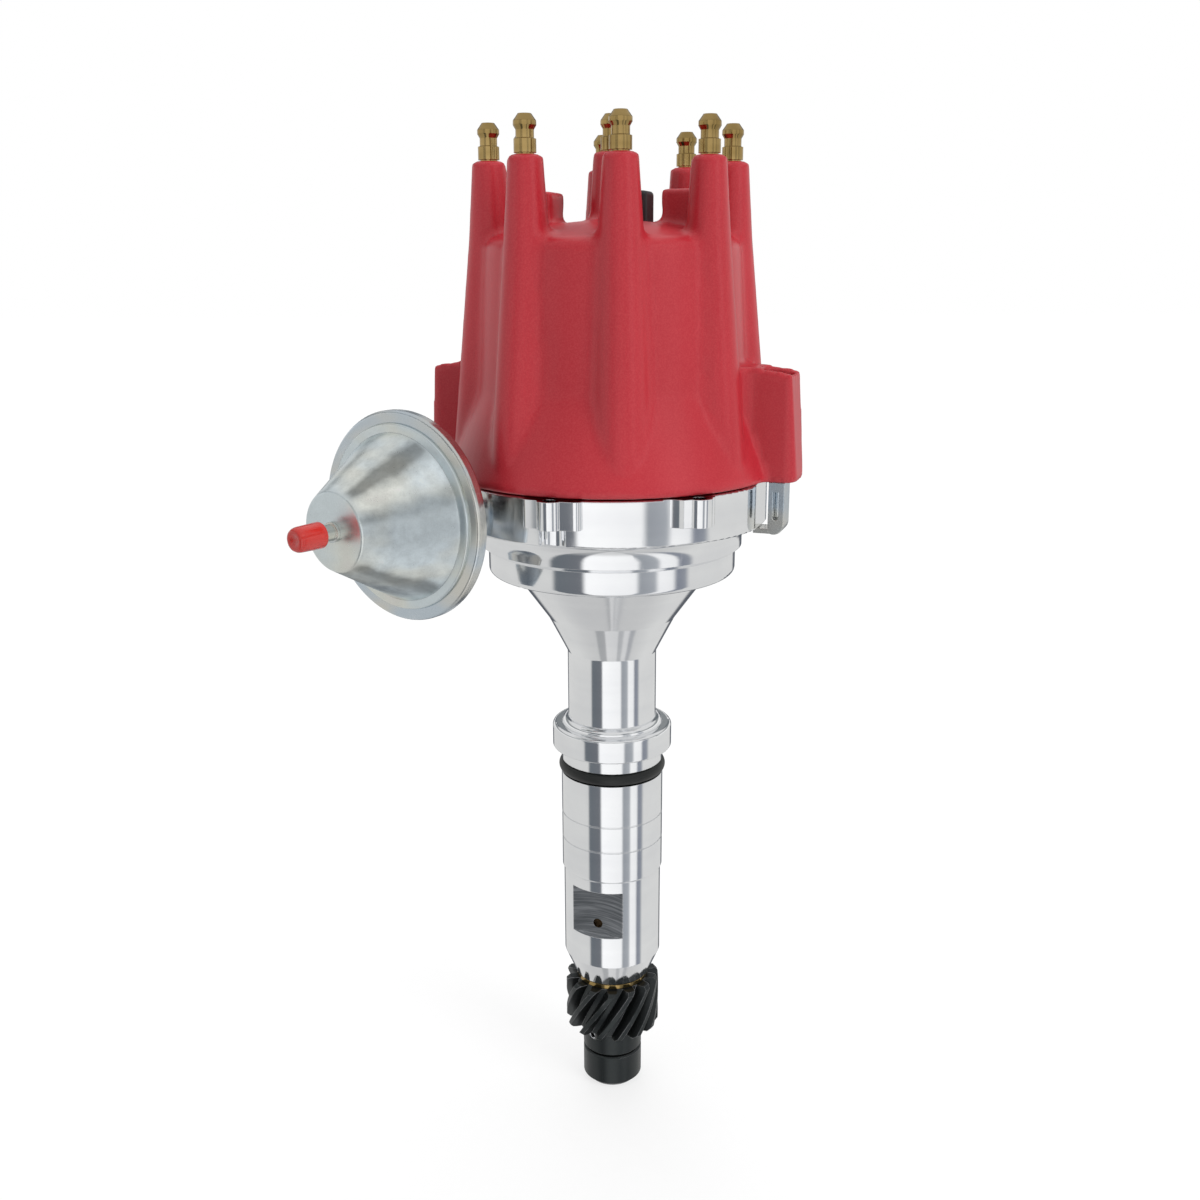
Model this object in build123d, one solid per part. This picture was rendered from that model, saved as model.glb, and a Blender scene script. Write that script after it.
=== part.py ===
from build123d import *
from math import cos, radians, sin, sqrt, tan
import os

# Units are millimetres. Z points up along the shaft and is 0 at the underside of the housing's collar.
# An azimuth is measured about Z from the front (-Y) and grows anticlockwise as seen from above.

# Housing: shank, collar and neck
shank_radius = 16.25
shank_land_radius = 16.0
shank_tail_radius = 15.75
shank_length = 72.2
shank_tail_length = 30.3
nose_length = 8.2
nose_end_radius = 12.3
shank_line_depths = (22.4, 31.0)
shank_line_width = 0.4
shank_line_depth = 0.25
collar_radius = 18.9
collar_height = 7.8
collar_edge = 1.2
neck_root_height = 2.0
neck_radius = 13.9
neck_length = 21.8

# Housing: cones, bowl and flange
ridge_radius = 19.75
lower_cone_height = 11.4
bowl_foot_radius = 30.4
upper_cone_height = 14.8
bowl_wall = 3.7
bowl_corner = 1.6
bowl_height = 7.4
lip_overhang = 1.9
lip_bevel_height = 1.2
lip_height = 2.1
cove_height = 5.5
cove_reach = 5.0
flange_overhang = 2.2
flange_height = 13.2
floor_thickness = 3.7
ledge_rise = 1.0
bowl_inner_radius = 34.0
flange_wall = 5.8

# Housing: milled flat and oil hole on the shank
flat_azimuth = -21.0
flat_depth = 2.42
flat_top_depth = 45.6
flat_height = 16.0
oil_hole_radius = 1.6
oil_hole_rise = 3.9

# Housing: screw lugs on the flange
lug_overhang = 5.0
lug_boss_radius = 3.5
lug_height = 7.8
lug_hole_radius = 1.9
lug_hole_depth = 6.0
lug_web_overhang = 2.8
front_lug_azimuth = 29.1
front_lug_span = (16.7, 35.1)
side_lug_azimuth = -20.8
side_lug_span = (-30.5, -10.3)
lug_channel_radius = 3.9
lug_channel_inset = 0.4
lug_channel_height = 7.2
lug_scoop_radius = 7.0

# Housing seal
o_ring_minor_radius = 2.0
o_ring_groove_radius = 12.95
o_ring_groove_height = 4.2
o_ring_groove_drop = 4.5

# Shaft and its bearings
shaft_radius = 6.35
shaft_nose_radius = 5.0
bearing_clearance = 0.05
bearing_radius = 9.0
bearing_length = 30.0
oil_gap = 0.85

# Drive gear
gear_teeth = 14
gear_tip_radius = 15.5
gear_root_radius = 11.75
gear_height = 17.6
gear_edge = 1.0
gear_twist_per_mm = 2.57
gear_crest_azimuth = 31.7
tooth_root_half_angle = 8.6
tooth_tip_half_angle = 3.3
hub_radius = 9.8
hub_height = 9.0
hub_edge = 0.5

# Below the gear and between the gear and the nose
coupling_height = 11.7
coupling_edge = 1.8
coupling_gap = 0.6
hex_across_flats = 8.0
hex_depth = 7.5
shaft_nose_length = 3.6
roll_pin_radius = 1.55
roll_pin_bore = 0.95
roll_pin_slit = 0.5
roll_pin_azimuth = -45.2
roll_pin_drop = 2.7
thrust_washer_radius = 11.9
thrust_washer_height = 1.3
shim_radius = 11.2
shim_height = 0.4
end_float = 0.1

# Pickup plate and what it carries
boss_radius = 13.0
boss_shoulder_radius = 16.0
plate_clearance = 0.05
plate_hub_radius = 15.6
plate_hub_height = 3.6
plate_edge_gap = 0.5
plate_height = 1.6
plate_rise = 2.6
snap_ring_height = 0.9
snap_ring_radius = 14.4
snap_ring_groove = 0.75
snap_ring_gap = 5.0
arm_pin_radius = 1.5
arm_pin_height = 4.3
pickup_azimuth = 54.0
coil_radius = 4.2
coil_length = 7.4
coil_cheek = 0.8
pole_radius = 1.8
pole_gap = 0.5
pole_leg = 2.4
pole_foot_length = 5.2
pole_width = 15.2
pole_screw_angle = 9.5

# Centrifugal advance
reluctor_radius = 17.0
reluctor_valley_radius = 13.4
reluctor_height = 6.0
reluctor_points = 8
reluctor_tip_half_angle = 4.5
reluctor_valley_half_angle = 10.0
sleeve_radius = 9.5
sleeve_tail = 0.8
sleeve_length = 16.8
advance_plate_radius = 26.0
advance_plate_height = 2.0
weight_gap = 0.3
weight_height = 4.5
weight_outer_radius = 24.5
weight_inner_radius = 13.2
weight_half_span = 66.0
pivot_azimuth = 150.0
pivot_radius = 18.5
pivot_pin_radius = 2.0
pivot_pin_rise = 3.6
cam_lobe_offset = 4.0
cam_lobe_radius = 7.6
cam_post_radius = 0.9
cam_post_offset = 8.5
spring_wire = 0.6
spring_coil_radius = 1.3
spring_turns = 5
spring_eye_radius = 3.0

# Rotor
rotor_disc_radius = 27.0
rotor_disc_height = 3.0
rotor_leg_radius = 4.0
rotor_leg_offset = 21.6
rotor_leg_height = 9.0
rotor_column_radius = 11.0
rotor_column_top_radius = 7.5
rotor_arm_width = 9.0
rotor_arm_depth = 6.0
blade_overhang = 0.8
blade_width = 6.0
blade_height = 1.6
blade_gap = 0.6
contact_strip = 0.5
contact_rise = 1.9
contact_reach = 14.0

# Cap: wall, dome and rim
rim_overhang = 2.0
rim_gap = 0.6
rim_gap_depth = 1.6
rim_band = 1.5
knee_setback = 8.9
knee_height = 25.7
knee_round = 14.0
shoulder_setback = 2.7
dome_height = 72.7
dome_drop = 5.8
shoulder_round = 3.5
cap_wall = 3.6
upper_wall = 3.2
roof_thickness = 9.0
spigot_length = 2.2
spigot_width = 2.3
cap_fit = 0.1

# Cap: towers
tower_count = 8
tower_inset = 2.5
first_tower_azimuth = 3.45
tower_top_radius = 4.75
tower_base_radius = 6.3
tower_rise = 16.0
tower_foot_rise = 0.3
rib_foot_inset = 9.2
rib_foot_radius = 8.3
rib_blend = 4.0
rib_blend_end = 0.6
tower_edge = 1.2
centre_tower_radius = 5.1
centre_tower_base_radius = 6.4
centre_tower_rise = 2.6

# Cap: raised blocks and vent plug on the dome
ear_azimuth = 70.95
block_inner_radius = 16.4
block_length = 12.6
block_width = 12.0
block_rise = 8.0
block_edge = 0.7
vent_inner_radius = 14.0
vent_length = 9.1
vent_width = 12.0
vent_rise = 8.8
vent_depth = 3.0
vent_edge = 1.3
vent_bore = 1.8

# Cap: latch ears
ear_overhang = 8.5
ear_half_width = 7.0
ear_height = 30.9
ear_draft = 2.3
ear_slope = 1.6
ear_corner = 3.0
ear_blend = 6.0
ear_blend_radius = 41.0
pocket_depth = 8.7
pocket_wall = 3.1
pocket_half_width = 5.0
pocket_floor = 8.0

# Terminals
terminal_radius = 3.0
terminal_tail_radius = 3.3
terminal_stem_radius = 2.4
terminal_waist_radius = 2.45
terminal_head_radius = 3.1
terminal_tip_radius = 1.8
terminal_heights = (0.3, 3.8, 4.0, 6.1, 7.2, 8.3, 10.1)
terminal_tail_grip = 2.0
terminal_tail = 10.8

# Carbon button
button_radius = 3.2
button_clearance = 0.05
button_height = 7.6
button_gap = 0.3
button_spring_wire = 0.5
button_spring_turns = 5
button_spring_length = 7.0
button_boss_radius = 8.0
button_boss_length = 4.4

# Latches
latch_inset = 6.0
hook_face_offset = 2.3
hook_half_width = 4.1
hook_wall = 1.2
hook_wall_reach = 4.6
hook_inner_round = 1.5
hook_slot_width = 1.6
hook_slot_inset = 1.4
hook_slot_foot = 2.5
hook_curl = 2.8
hook_foot_gap = 0.3
hook_foot_height = 1.4
hook_foot_half_width = 3.3
hook_top_gap = 0.3
latch_flat_inset = 0.8
latch_flat_half_width = 7.6
latch_sleeve_radius = 2.2
latch_sleeve_foot = 3.0
latch_screw_radius = 1.7
latch_head_radius = 2.75
latch_head_height = 3.0
latch_head_slot = 0.8
latch_spring_length = 13.0
latch_spring_wire = 0.7
latch_spring_turns = 6
latch_bore_clearance = 0.3

# Vacuum can
can_azimuth = -36.3
arm_pin_inset = 2.9
can_axis_drop = 7.4
can_standoff = 12.9
can_rim_radius = 29.9
can_step_radius = 26.4
can_cone_radius = 23.8
can_step_height = 0.9
can_face_radius = 10.9
can_depth = 24.6
can_sheet = 0.9
can_back_radius = 13.0
can_back_depth = 8.1
can_back_hole = 3.0
diaphragm_hole = 2.0
diaphragm_dish = 1.3
cup_radius = 14.0
cup_height = 5.6
can_spring_radius = 8.6
can_spring_wire = 1.2
can_spring_turns = 5
nipple_radius = 2.3
nipple_collar_radius = 2.8
nipple_bore = 1.2
nipple_length = 12.0
nipple_cap_radius = 3.5
nipple_cap_end_radius = 3.2
nipple_cap_start = 3.7
nipple_cap_length = 12.2
nipple_cap_clearance = 0.05

# Vacuum rod and bracket
plate_travel = 10.0
rod_radius = 1.6
rod_blade_height = 1.2
rod_blade_width = 6.4
rod_blade_length = 20.0
rod_blade_gap = 0.3
rod_pin_clearance = 0.15
bracket_sheet = 1.6
bracket_arm_width = 12.0
bracket_tab_radius = 11.5
bracket_setback = 1.2
bracket_span = (-124.0, -86.0)
bracket_screw_azimuths = (-118.5, -104.5)
window_side_gap = 1.0
window_height = 8.2

# Small screws
screw_radius = 1.5
screw_head_radius = 2.6
screw_head_height = 1.8
screw_slot = 0.6
screw_grip = 4.0

# Ignition module
module_boss_gap = 1.6
module_wall_gap = 1.6
module_span = (12.0, 128.0)
module_height = 9.5
module_screw_azimuths = (22.0, 118.0)

# Lead grommet
grommet_azimuth = 152.0
grommet_radius = 3.6
grommet_lip_radius = 4.7
grommet_lip = 1.4
grommet_rise = 4.9
grommet_hole = 1.9


def polar(radius, azimuth, z=0.0):
    """Point at a radius, an azimuth and a height."""
    angle = radians(azimuth)
    return Vector(radius * sin(angle), -radius * cos(angle), z)


def outline(*steps):
    """Closed flat face through the given corners; a pair of points is the middle and end of an arc."""
    edges = []
    here = steps[0]
    closing = () if steps[-1][-1] == steps[0] else steps[:1]
    for step in steps[1:] + closing:
        if isinstance(step[0], tuple):
            middle, there = step
            edges.append(ThreePointArc(here, middle, there))
        else:
            there = step
            edges.append(Line(here, there))
        here = there
    return make_face(edges)


def rounded(face, corners):
    """The same face with each listed corner, a point and a radius, rounded."""
    for point, radius in corners:
        vertex = face.vertices().sort_by_distance((point[0], point[1], 0))[0]
        face = fillet(vertex, radius)
    return face


def turned(*steps, rounds=()):
    """Solid turned about Z from an outline of (radius, height) corners."""
    face = rounded(outline(*steps), rounds)
    return revolve(Plane.XZ * face, Axis.Z)


def disc(radius, bottom, top, at=(0.0, 0.0)):
    """Upright cylinder between two heights, about a point's X and Y."""
    x, y = tuple(at)[:2]
    return extrude(Plane((x, y, bottom)) * Circle(radius), top - bottom)


def ring(inner, outer, bottom, top, at=(0.0, 0.0)):
    """Upright tube between two heights."""
    return disc(outer, bottom, top, at) - disc(inner, bottom, top, at)


def block(x_span, y_span, z_span):
    """Box between three pairs of coordinates."""
    size = [high - low for low, high in (x_span, y_span, z_span)]
    middle = [(high + low) / 2 for low, high in (x_span, y_span, z_span)]
    return Pos(*middle) * Box(*size)


def turn(shape, azimuth):
    """Shape carried from the front round to an azimuth."""
    return Rot(0, 0, azimuth) * shape


def sector(inner, outer, span, bottom, top):
    """Part of a flat ring between two azimuths."""
    corners = [polar(inner, span[0]), polar(outer, span[0]), polar(outer, sum(span) / 2)]
    corners += [polar(outer, span[1]), polar(inner, span[1]), polar(inner, sum(span) / 2)]
    a, b, c, d, e, f = [(point.X, point.Y) for point in corners]
    return extrude(Pos(0, 0, bottom) * outline(a, b, (c, d), e, (f, a)), top - bottom)


def coil(radius, wire, turns, bottom, top):
    """Round-wire coil about Z whose ends lie at two heights."""
    pitch = (top - bottom - wire) / turns
    path = Helix(pitch, top - bottom - wire, radius)
    section = (path ^ 0) * Circle(wire / 2)
    return Pos(0, 0, bottom + wire / 2) * sweep(section, path, is_frenet=True)


def pan_screw(seat, at, grip=screw_grip, radius=screw_radius, head=screw_head_radius):
    """Slotted screw whose head sits at a height."""
    body = disc(radius, seat - grip, seat, at) + disc(head, seat, seat + screw_head_height, at)
    body = chamfer(body.edges().filter_by(GeomType.CIRCLE).sort_by(Axis.Z)[-1], screw_slot / 2)
    top = seat + screw_head_height
    slot = block((-head, head), (-screw_slot / 2, screw_slot / 2), (top - screw_slot, top))
    x, y = tuple(at)[:2]
    return body - Pos(x, y, 0) * slot


def save(name, *solids):
    """Write one STEP file that holds the piece, or all the like pieces of one kind."""
    shape = solids[0] if len(solids) == 1 else Compound(children=list(solids))
    export_step(shape, "parts/" + name + ".step")


# Radii that follow from the bowl, from the bowl outwards to the latches and the can
bowl_radius = bowl_inner_radius + bowl_wall
lip_radius = bowl_radius + lip_overhang
cove_end_radius = lip_radius + cove_reach
flange_radius = cove_end_radius + flange_overhang
flange_inner_radius = flange_radius - flange_wall
lug_reach = flange_radius + lug_overhang
lug_web_reach = flange_radius + lug_web_overhang
lug_channel_offset = flange_radius - lug_channel_inset
latch_flat_radius = flange_radius - latch_flat_inset
rim_radius = flange_radius + rim_overhang
ear_reach = rim_radius + ear_overhang
latch_axis_radius = ear_reach - latch_inset
hook_face_radius = latch_axis_radius + hook_face_offset
hook_foot_reach = cove_end_radius
pocket_outer_radius = ear_reach - pocket_wall
pocket_inner_radius = pocket_outer_radius - pocket_depth
can_distance = flange_radius + can_standoff

# Radii of the cap's upper part
knee_radius = rim_radius - knee_setback
shoulder_radius = knee_radius - shoulder_setback
cavity_radius = knee_radius - cap_wall
cavity_top_radius = shoulder_radius - upper_wall
tower_ring_radius = shoulder_radius - tower_inset
rib_foot_offset = rim_radius - rib_foot_inset

# Radii of what stands in the bowl
plate_radius = bowl_inner_radius - plate_edge_gap
can_offset = plate_radius - arm_pin_inset
bracket_inner_radius = bowl_inner_radius + bracket_setback
module_inner_radius = boss_shoulder_radius + module_boss_gap
module_outer_radius = bowl_inner_radius - module_wall_gap
module_screw_offset = (module_inner_radius + module_outer_radius) / 2

# Heights on the housing
nose_end_z = -shank_length - nose_length
tail_start_z = -shank_length + shank_tail_length
neck_bottom_z = collar_height + neck_root_height
neck_top_z = neck_bottom_z + neck_length
ridge_z = neck_top_z + lower_cone_height
bowl_base_z = ridge_z + upper_cone_height
band_top_z = bowl_base_z + bowl_height
lip_bottom_z = band_top_z + lip_bevel_height
lip_top_z = lip_bottom_z + lip_height
flange_bottom_z = lip_top_z + cove_height
flange_top_z = flange_bottom_z + flange_height
floor_z = bowl_base_z + floor_thickness
ledge_z = flange_bottom_z + ledge_rise
lug_bottom_z = flange_top_z - lug_height
can_axis_z = flange_top_z - can_axis_drop

# Heights inside the bowl
plate_bottom_z = ledge_z + plate_rise
plate_top_z = plate_bottom_z + plate_height
shoulder_z = plate_bottom_z - plate_hub_height
snap_ring_z = plate_top_z + plate_clearance
boss_top_z = snap_ring_z + snap_ring_height + snap_ring_groove
sleeve_bottom_z = boss_top_z + end_float
reluctor_bottom_z = sleeve_bottom_z + sleeve_tail
reluctor_top_z = reluctor_bottom_z + reluctor_height
advance_top_z = sleeve_bottom_z + sleeve_length
advance_bottom_z = advance_top_z - advance_plate_height
cam_bottom_z = advance_top_z + weight_gap
cam_top_z = cam_bottom_z + weight_height
rotor_disc_z = advance_top_z + rotor_leg_height
rotor_disc_top_z = rotor_disc_z + rotor_disc_height

# Heights on the cap
rim_z = flange_top_z + rim_gap
knee_z = flange_top_z + knee_height
crown_z = flange_top_z + dome_height + rim_gap
shoulder_top_z = crown_z - dome_drop
roof_z = crown_z - roof_thickness
tower_top_z = crown_z + tower_rise
tower_base_z = shoulder_top_z + tower_foot_rise
centre_top_z = tower_top_z + centre_tower_rise
ear_top_z = rim_z + ear_height
block_top_z = crown_z + block_rise
vent_top_z = crown_z + vent_rise
vent_bottom_z = crown_z - dome_drop / 2 - vent_depth
pocket_floor_z = rim_z + pocket_floor

# Heights under the nose
washer_top_z = nose_end_z - end_float - shim_height
washer_bottom_z = washer_top_z - thrust_washer_height
gear_top_z = washer_bottom_z - shim_height
gear_bottom_z = gear_top_z - gear_height
hub_bottom_z = gear_bottom_z - hub_height
coupling_top_z = hub_bottom_z - coupling_gap
coupling_bottom_z = coupling_top_z - coupling_height

# Rotor and terminal heights follow from the button under the roof
boss_bottom_z = roof_z - button_boss_length
terminal_bottom_z = roof_z - terminal_tail - button_boss_length
button_top_z = boss_bottom_z + button_height / 2
button_bottom_z = button_top_z - button_height
contact_z = button_bottom_z - button_gap
blade_top_z = contact_z - contact_rise
blade_bottom_z = blade_top_z - blade_height
coil_terminal_bottom_z = button_top_z + button_spring_length
plug_grip_z = roof_z + terminal_tail_grip
coil_grip_z = coil_terminal_bottom_z + terminal_tail_grip
tower_azimuths = [first_tower_azimuth + index * 360 / tower_count for index in range(tower_count)]
tower_spots = [polar(tower_ring_radius, azimuth) for azimuth in tower_azimuths]
rotor_azimuth = tower_azimuths[1]
blade_reach = tower_ring_radius - terminal_tail_radius - blade_gap
rotor_arm_reach = blade_reach - blade_overhang

# The line of the vacuum rod: along it, across it towards the shaft, and up
rod_line = Plane(polar(can_offset, can_azimuth - 90), x_dir=polar(1, can_azimuth), z_dir=(0, 0, 1))
can_centre = polar(can_offset, can_azimuth - 90, can_axis_z) + polar(can_distance, can_azimuth)
can_frame = Plane(can_centre, x_dir=(0, 0, 1), z_dir=polar(1, can_azimuth))
window_half_width = bracket_arm_width / 2 + window_side_gap
can_back_along = can_distance - can_back_depth
bracket_screw_radius = (bracket_inner_radius + flange_inner_radius) / 2
screw_hole_radius = screw_radius
bolt_spots = [polar(bracket_screw_radius, azimuth) for azimuth in bracket_screw_azimuths]
module_spots = [polar(module_screw_offset, azimuth) for azimuth in module_screw_azimuths]


def cove(start, end):
    """Arc that leaves the start upright and reaches the end level."""
    lean = cos(radians(45))
    across = end[0] - start[0]
    up = end[1] - start[1]
    return ((end[0] - across * lean, start[1] + up * lean), end)


def housing_skin():
    """Outside of the turned body, solid within."""
    body = turned(
        (0, nose_end_z),
        (nose_end_radius, nose_end_z),
        (shank_tail_radius, -shank_length),
        (shank_tail_radius, tail_start_z),
        (shank_radius, tail_start_z + shank_radius - shank_tail_radius),
        (shank_radius, -o_ring_groove_drop),
        (shank_land_radius, -o_ring_groove_drop),
        (shank_land_radius, 0),
        (collar_radius, 0),
        (collar_radius, collar_height),
        (neck_radius + neck_root_height, collar_height),
        cove((neck_radius + neck_root_height, collar_height), (neck_radius, neck_bottom_z)),
        (neck_radius, neck_top_z),
        (ridge_radius, ridge_z),
        (bowl_foot_radius, bowl_base_z),
        (bowl_radius, bowl_base_z),
        (bowl_radius, band_top_z),
        (lip_radius, lip_bottom_z),
        (lip_radius, lip_top_z),
        cove((lip_radius, lip_top_z), (cove_end_radius, flange_bottom_z)),
        (flange_radius, flange_bottom_z),
        (flange_radius, flange_top_z),
        (0, flange_top_z),
        rounds=(
            ((collar_radius, 0), collar_edge / 2),
            ((collar_radius, collar_height), collar_edge),
            ((bowl_radius, bowl_base_z), bowl_corner),
            ((lip_radius, lip_top_z), lip_bevel_height / 2),
            ((flange_radius, flange_bottom_z), collar_edge / 2),
            ((flange_radius, flange_top_z), collar_edge / 2),
        ),
    )
    for depth in shank_line_depths:
        body -= ring(shank_radius - shank_line_depth, collar_radius, -depth - shank_line_width, -depth)
    groove_top = -o_ring_groove_drop
    groove_bottom = groove_top - o_ring_groove_height
    return body - ring(o_ring_groove_radius, collar_radius, groove_bottom, groove_top)


def lug(azimuth, span):
    """Screw lug on the flange, with a rounded boss on a web that follows the flange."""
    centre = polar(lug_reach - lug_boss_radius, azimuth)
    boss = disc(lug_boss_radius, lug_bottom_z, flange_top_z, centre)
    web_inner = (flange_radius + flange_inner_radius) / 2
    web = sector(web_inner, lug_web_reach, span, lug_bottom_z, flange_top_z)
    neck_half = lug_boss_radius
    neck = block((-neck_half, neck_half), (-lug_reach + neck_half, -web_inner), (lug_bottom_z, flange_top_z))
    edges = web.edges().filter_by(Axis.Z).sort_by(lambda edge: -Vector(*edge.center()).length)[:2]
    return fillet(edges, lug_boss_radius / 2) + boss + turn(neck, azimuth)


def build_housing():
    """Turned housing with its bores, window, flats, lugs and screw holes."""
    body = housing_skin() + lug(front_lug_azimuth, front_lug_span) + lug(side_lug_azimuth, side_lug_span)
    scoop_centre = polar(lug_web_reach + lug_scoop_radius / 2, front_lug_span[0] - 1)
    body -= disc(lug_scoop_radius, lug_bottom_z - 1, flange_top_z + 1, scoop_centre) - disc(
        flange_radius, lug_bottom_z - 2, flange_top_z + 2
    )
    for azimuth in (front_lug_azimuth, side_lug_azimuth):
        centre = polar(lug_reach - lug_boss_radius, azimuth)
        top = flange_top_z
        body -= disc(lug_hole_radius, top - lug_hole_depth, top, centre)
    channel = polar(lug_channel_offset, side_lug_azimuth)
    channel_bottom = lug_bottom_z - lug_channel_height
    body -= disc(lug_channel_radius, channel_bottom, lug_bottom_z, channel)
    body -= turned(
        (0, floor_z),
        (bowl_inner_radius, floor_z),
        (bowl_inner_radius, ledge_z),
        (flange_inner_radius, ledge_z),
        (flange_inner_radius, flange_top_z),
        (0, flange_top_z),
        rounds=(((bowl_inner_radius, floor_z), bowl_corner),),
    )
    body += disc(boss_shoulder_radius, floor_z - 1, shoulder_z - plate_clearance)
    body += disc(boss_radius, shoulder_z - 1, boss_top_z)
    ring_groove = boss_radius - snap_ring_groove
    groove_top = snap_ring_z + snap_ring_height + plate_clearance
    body -= ring(ring_groove, boss_radius, snap_ring_z - plate_clearance, groove_top)
    body -= disc(shaft_radius + oil_gap, nose_end_z, boss_top_z)
    body -= disc(bearing_radius, nose_end_z, nose_end_z + bearing_length)
    body -= disc(bearing_radius, boss_top_z - bearing_length, boss_top_z)
    flat_depth_radius = shank_tail_radius - flat_depth
    flat_span = (-flat_top_depth - flat_height, -flat_top_depth)
    flat_cut = block((-collar_radius, collar_radius), (-collar_radius, -flat_depth_radius), flat_span)
    body -= turn(flat_cut, flat_azimuth)
    oil_mouth = polar(collar_radius, flat_azimuth, flat_span[0] + oil_hole_rise)
    oil_plane = Plane(oil_mouth, z_dir=polar(-1, flat_azimuth))
    body -= extrude(oil_plane * Circle(oil_hole_radius), collar_radius - shaft_radius)
    for azimuth in (ear_azimuth, ear_azimuth + 180):
        flat = block(
            (-latch_flat_half_width, latch_flat_half_width),
            (-collar_radius - flange_radius, -latch_flat_radius),
            (flange_bottom_z - 1, flange_top_z + 1),
        )
        body -= turn(flat, azimuth)
    window = block(
        (0, can_distance),
        (-window_half_width, window_half_width),
        (ledge_z, ledge_z + window_height),
    )
    body -= rod_line.location * window - disc(bowl_inner_radius, ledge_z - 1, flange_top_z)
    for spot in bolt_spots:
        body -= disc(screw_hole_radius, ledge_z + bracket_sheet - screw_grip, ledge_z, spot)
    for spot in module_spots:
        body -= disc(screw_hole_radius, floor_z - floor_thickness / 2, floor_z, spot)
    hole_plane = Plane(polar(0, 0, grommet_z), z_dir=polar(1, grommet_azimuth))
    return body - extrude(hole_plane * Circle(grommet_radius), flange_radius + 1)


grommet_z = ledge_z + grommet_rise


def build_grommet():
    """Rubber grommet in the flange wall, its lips following the wall inside and outside."""
    plane = Plane(polar(0, 0, grommet_z), z_dir=polar(1, grommet_azimuth))
    outer_start = Plane(plane.origin + plane.z_dir * flange_inner_radius, z_dir=plane.z_dir)
    wall = flange_radius - flange_inner_radius
    lip = extrude(outer_start * Circle(grommet_lip_radius), wall + grommet_lip)
    lip -= disc(flange_radius, 0, crown_z)
    inner_radius = flange_inner_radius - grommet_lip * 2
    inner_start = Plane(plane.origin + plane.z_dir * inner_radius, z_dir=plane.z_dir)
    inner = extrude(inner_start * Circle(grommet_lip_radius), wall)
    inner = inner & disc(flange_inner_radius, 0, crown_z)
    body = extrude(inner_start * Circle(grommet_radius), wall + grommet_lip * 2.5)
    hole = extrude(inner_start * Circle(grommet_hole), wall + grommet_lip * 4)
    return lip + inner + body - hole


def build_shaft():
    """Ground shaft with a smaller nose at each end for the cam and the coupling."""
    return turned(
        (0, coupling_top_z - shaft_nose_length),
        (shaft_nose_radius, coupling_top_z - shaft_nose_length),
        (shaft_nose_radius, coupling_top_z),
        (shaft_radius, coupling_top_z),
        (shaft_radius, advance_top_z),
        (shaft_nose_radius, advance_top_z),
        (shaft_nose_radius, cam_top_z),
        (0, cam_top_z),
    ) - roll_pin_hole()


def roll_pin_frame(start):
    """Plane across the roll pin's line at a distance from the shaft's axis."""
    height = gear_bottom_z - roll_pin_drop
    return Plane(polar(start, roll_pin_azimuth, height), z_dir=polar(1, roll_pin_azimuth))


def roll_pin_hole():
    """Round hole across the hub and shaft for the roll pin."""
    return extrude(roll_pin_frame(-hub_radius) * Circle(roll_pin_radius), 2 * hub_radius)


def build_roll_pin():
    """Hollow split pin that stops a little short of the hub's surface."""
    reach = hub_radius - roll_pin_slit / 2
    frame = roll_pin_frame(-reach)
    slit = Pos(roll_pin_radius, 0) * Rectangle(2 * roll_pin_radius, roll_pin_slit)
    return extrude(frame * (Circle(roll_pin_radius) - Circle(roll_pin_bore) - slit), 2 * reach)


def build_gear():
    """Helical gear: one toothed outline twisted up its height, with a plain hub below."""
    corners = []
    pitch = 360 / gear_teeth
    middle_radius = (gear_tip_radius + gear_root_radius) / 2
    middle_half_angle = (tooth_root_half_angle + tooth_tip_half_angle) / 2 + 0.5
    for tooth in range(gear_teeth):
        crest = gear_crest_azimuth + tooth * pitch
        corners.append(polar(gear_root_radius, crest - tooth_root_half_angle))
        corners.append(polar(middle_radius, crest - middle_half_angle))
        corners.append(polar(gear_tip_radius, crest - tooth_tip_half_angle))
        corners.append(polar(gear_tip_radius, crest + tooth_tip_half_angle))
        corners.append(polar(middle_radius, crest + middle_half_angle))
        corners.append(polar(gear_root_radius, crest + tooth_root_half_angle))
    outline_face = make_face(Polyline(*corners, close=True)).face()
    twist = gear_twist_per_mm * gear_height
    teeth = Solid.extrude_linear_with_rotation(outline_face, (0, 0, 0), (0, 0, gear_height), twist)
    envelope = turned(
        (0, gear_bottom_z),
        (gear_tip_radius - gear_edge, gear_bottom_z),
        (gear_tip_radius + gear_edge, gear_bottom_z + 2 * gear_edge),
        (gear_tip_radius + gear_edge, gear_top_z - 2 * gear_edge),
        (gear_tip_radius - gear_edge, gear_top_z),
        (0, gear_top_z),
    )
    teeth = envelope & (Pos(0, 0, gear_bottom_z) * teeth)
    hub = turned(
        (0, hub_bottom_z),
        (hub_radius - hub_edge, hub_bottom_z),
        (hub_radius, hub_bottom_z + hub_edge),
        (hub_radius, gear_bottom_z + 1),
        (0, gear_bottom_z + 1),
    )
    return teeth + hub - disc(shaft_radius, hub_bottom_z, gear_top_z) - roll_pin_hole()


def build_coupling():
    """Plain round end piece with a six-sided socket for the oil pump's drive rod."""
    body = turned(
        (0, coupling_bottom_z),
        (hub_radius - coupling_edge, coupling_bottom_z),
        (hub_radius, coupling_bottom_z + coupling_edge),
        (hub_radius, coupling_top_z - hub_edge),
        (hub_radius - hub_edge, coupling_top_z),
        (0, coupling_top_z),
    )
    body -= disc(shaft_nose_radius, coupling_top_z - shaft_nose_length, coupling_top_z)
    hexagon = RegularPolygon(hex_across_flats / 2, 6, major_radius=False)
    return body - extrude(Pos(0, 0, coupling_bottom_z) * hexagon, hex_depth)


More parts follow.
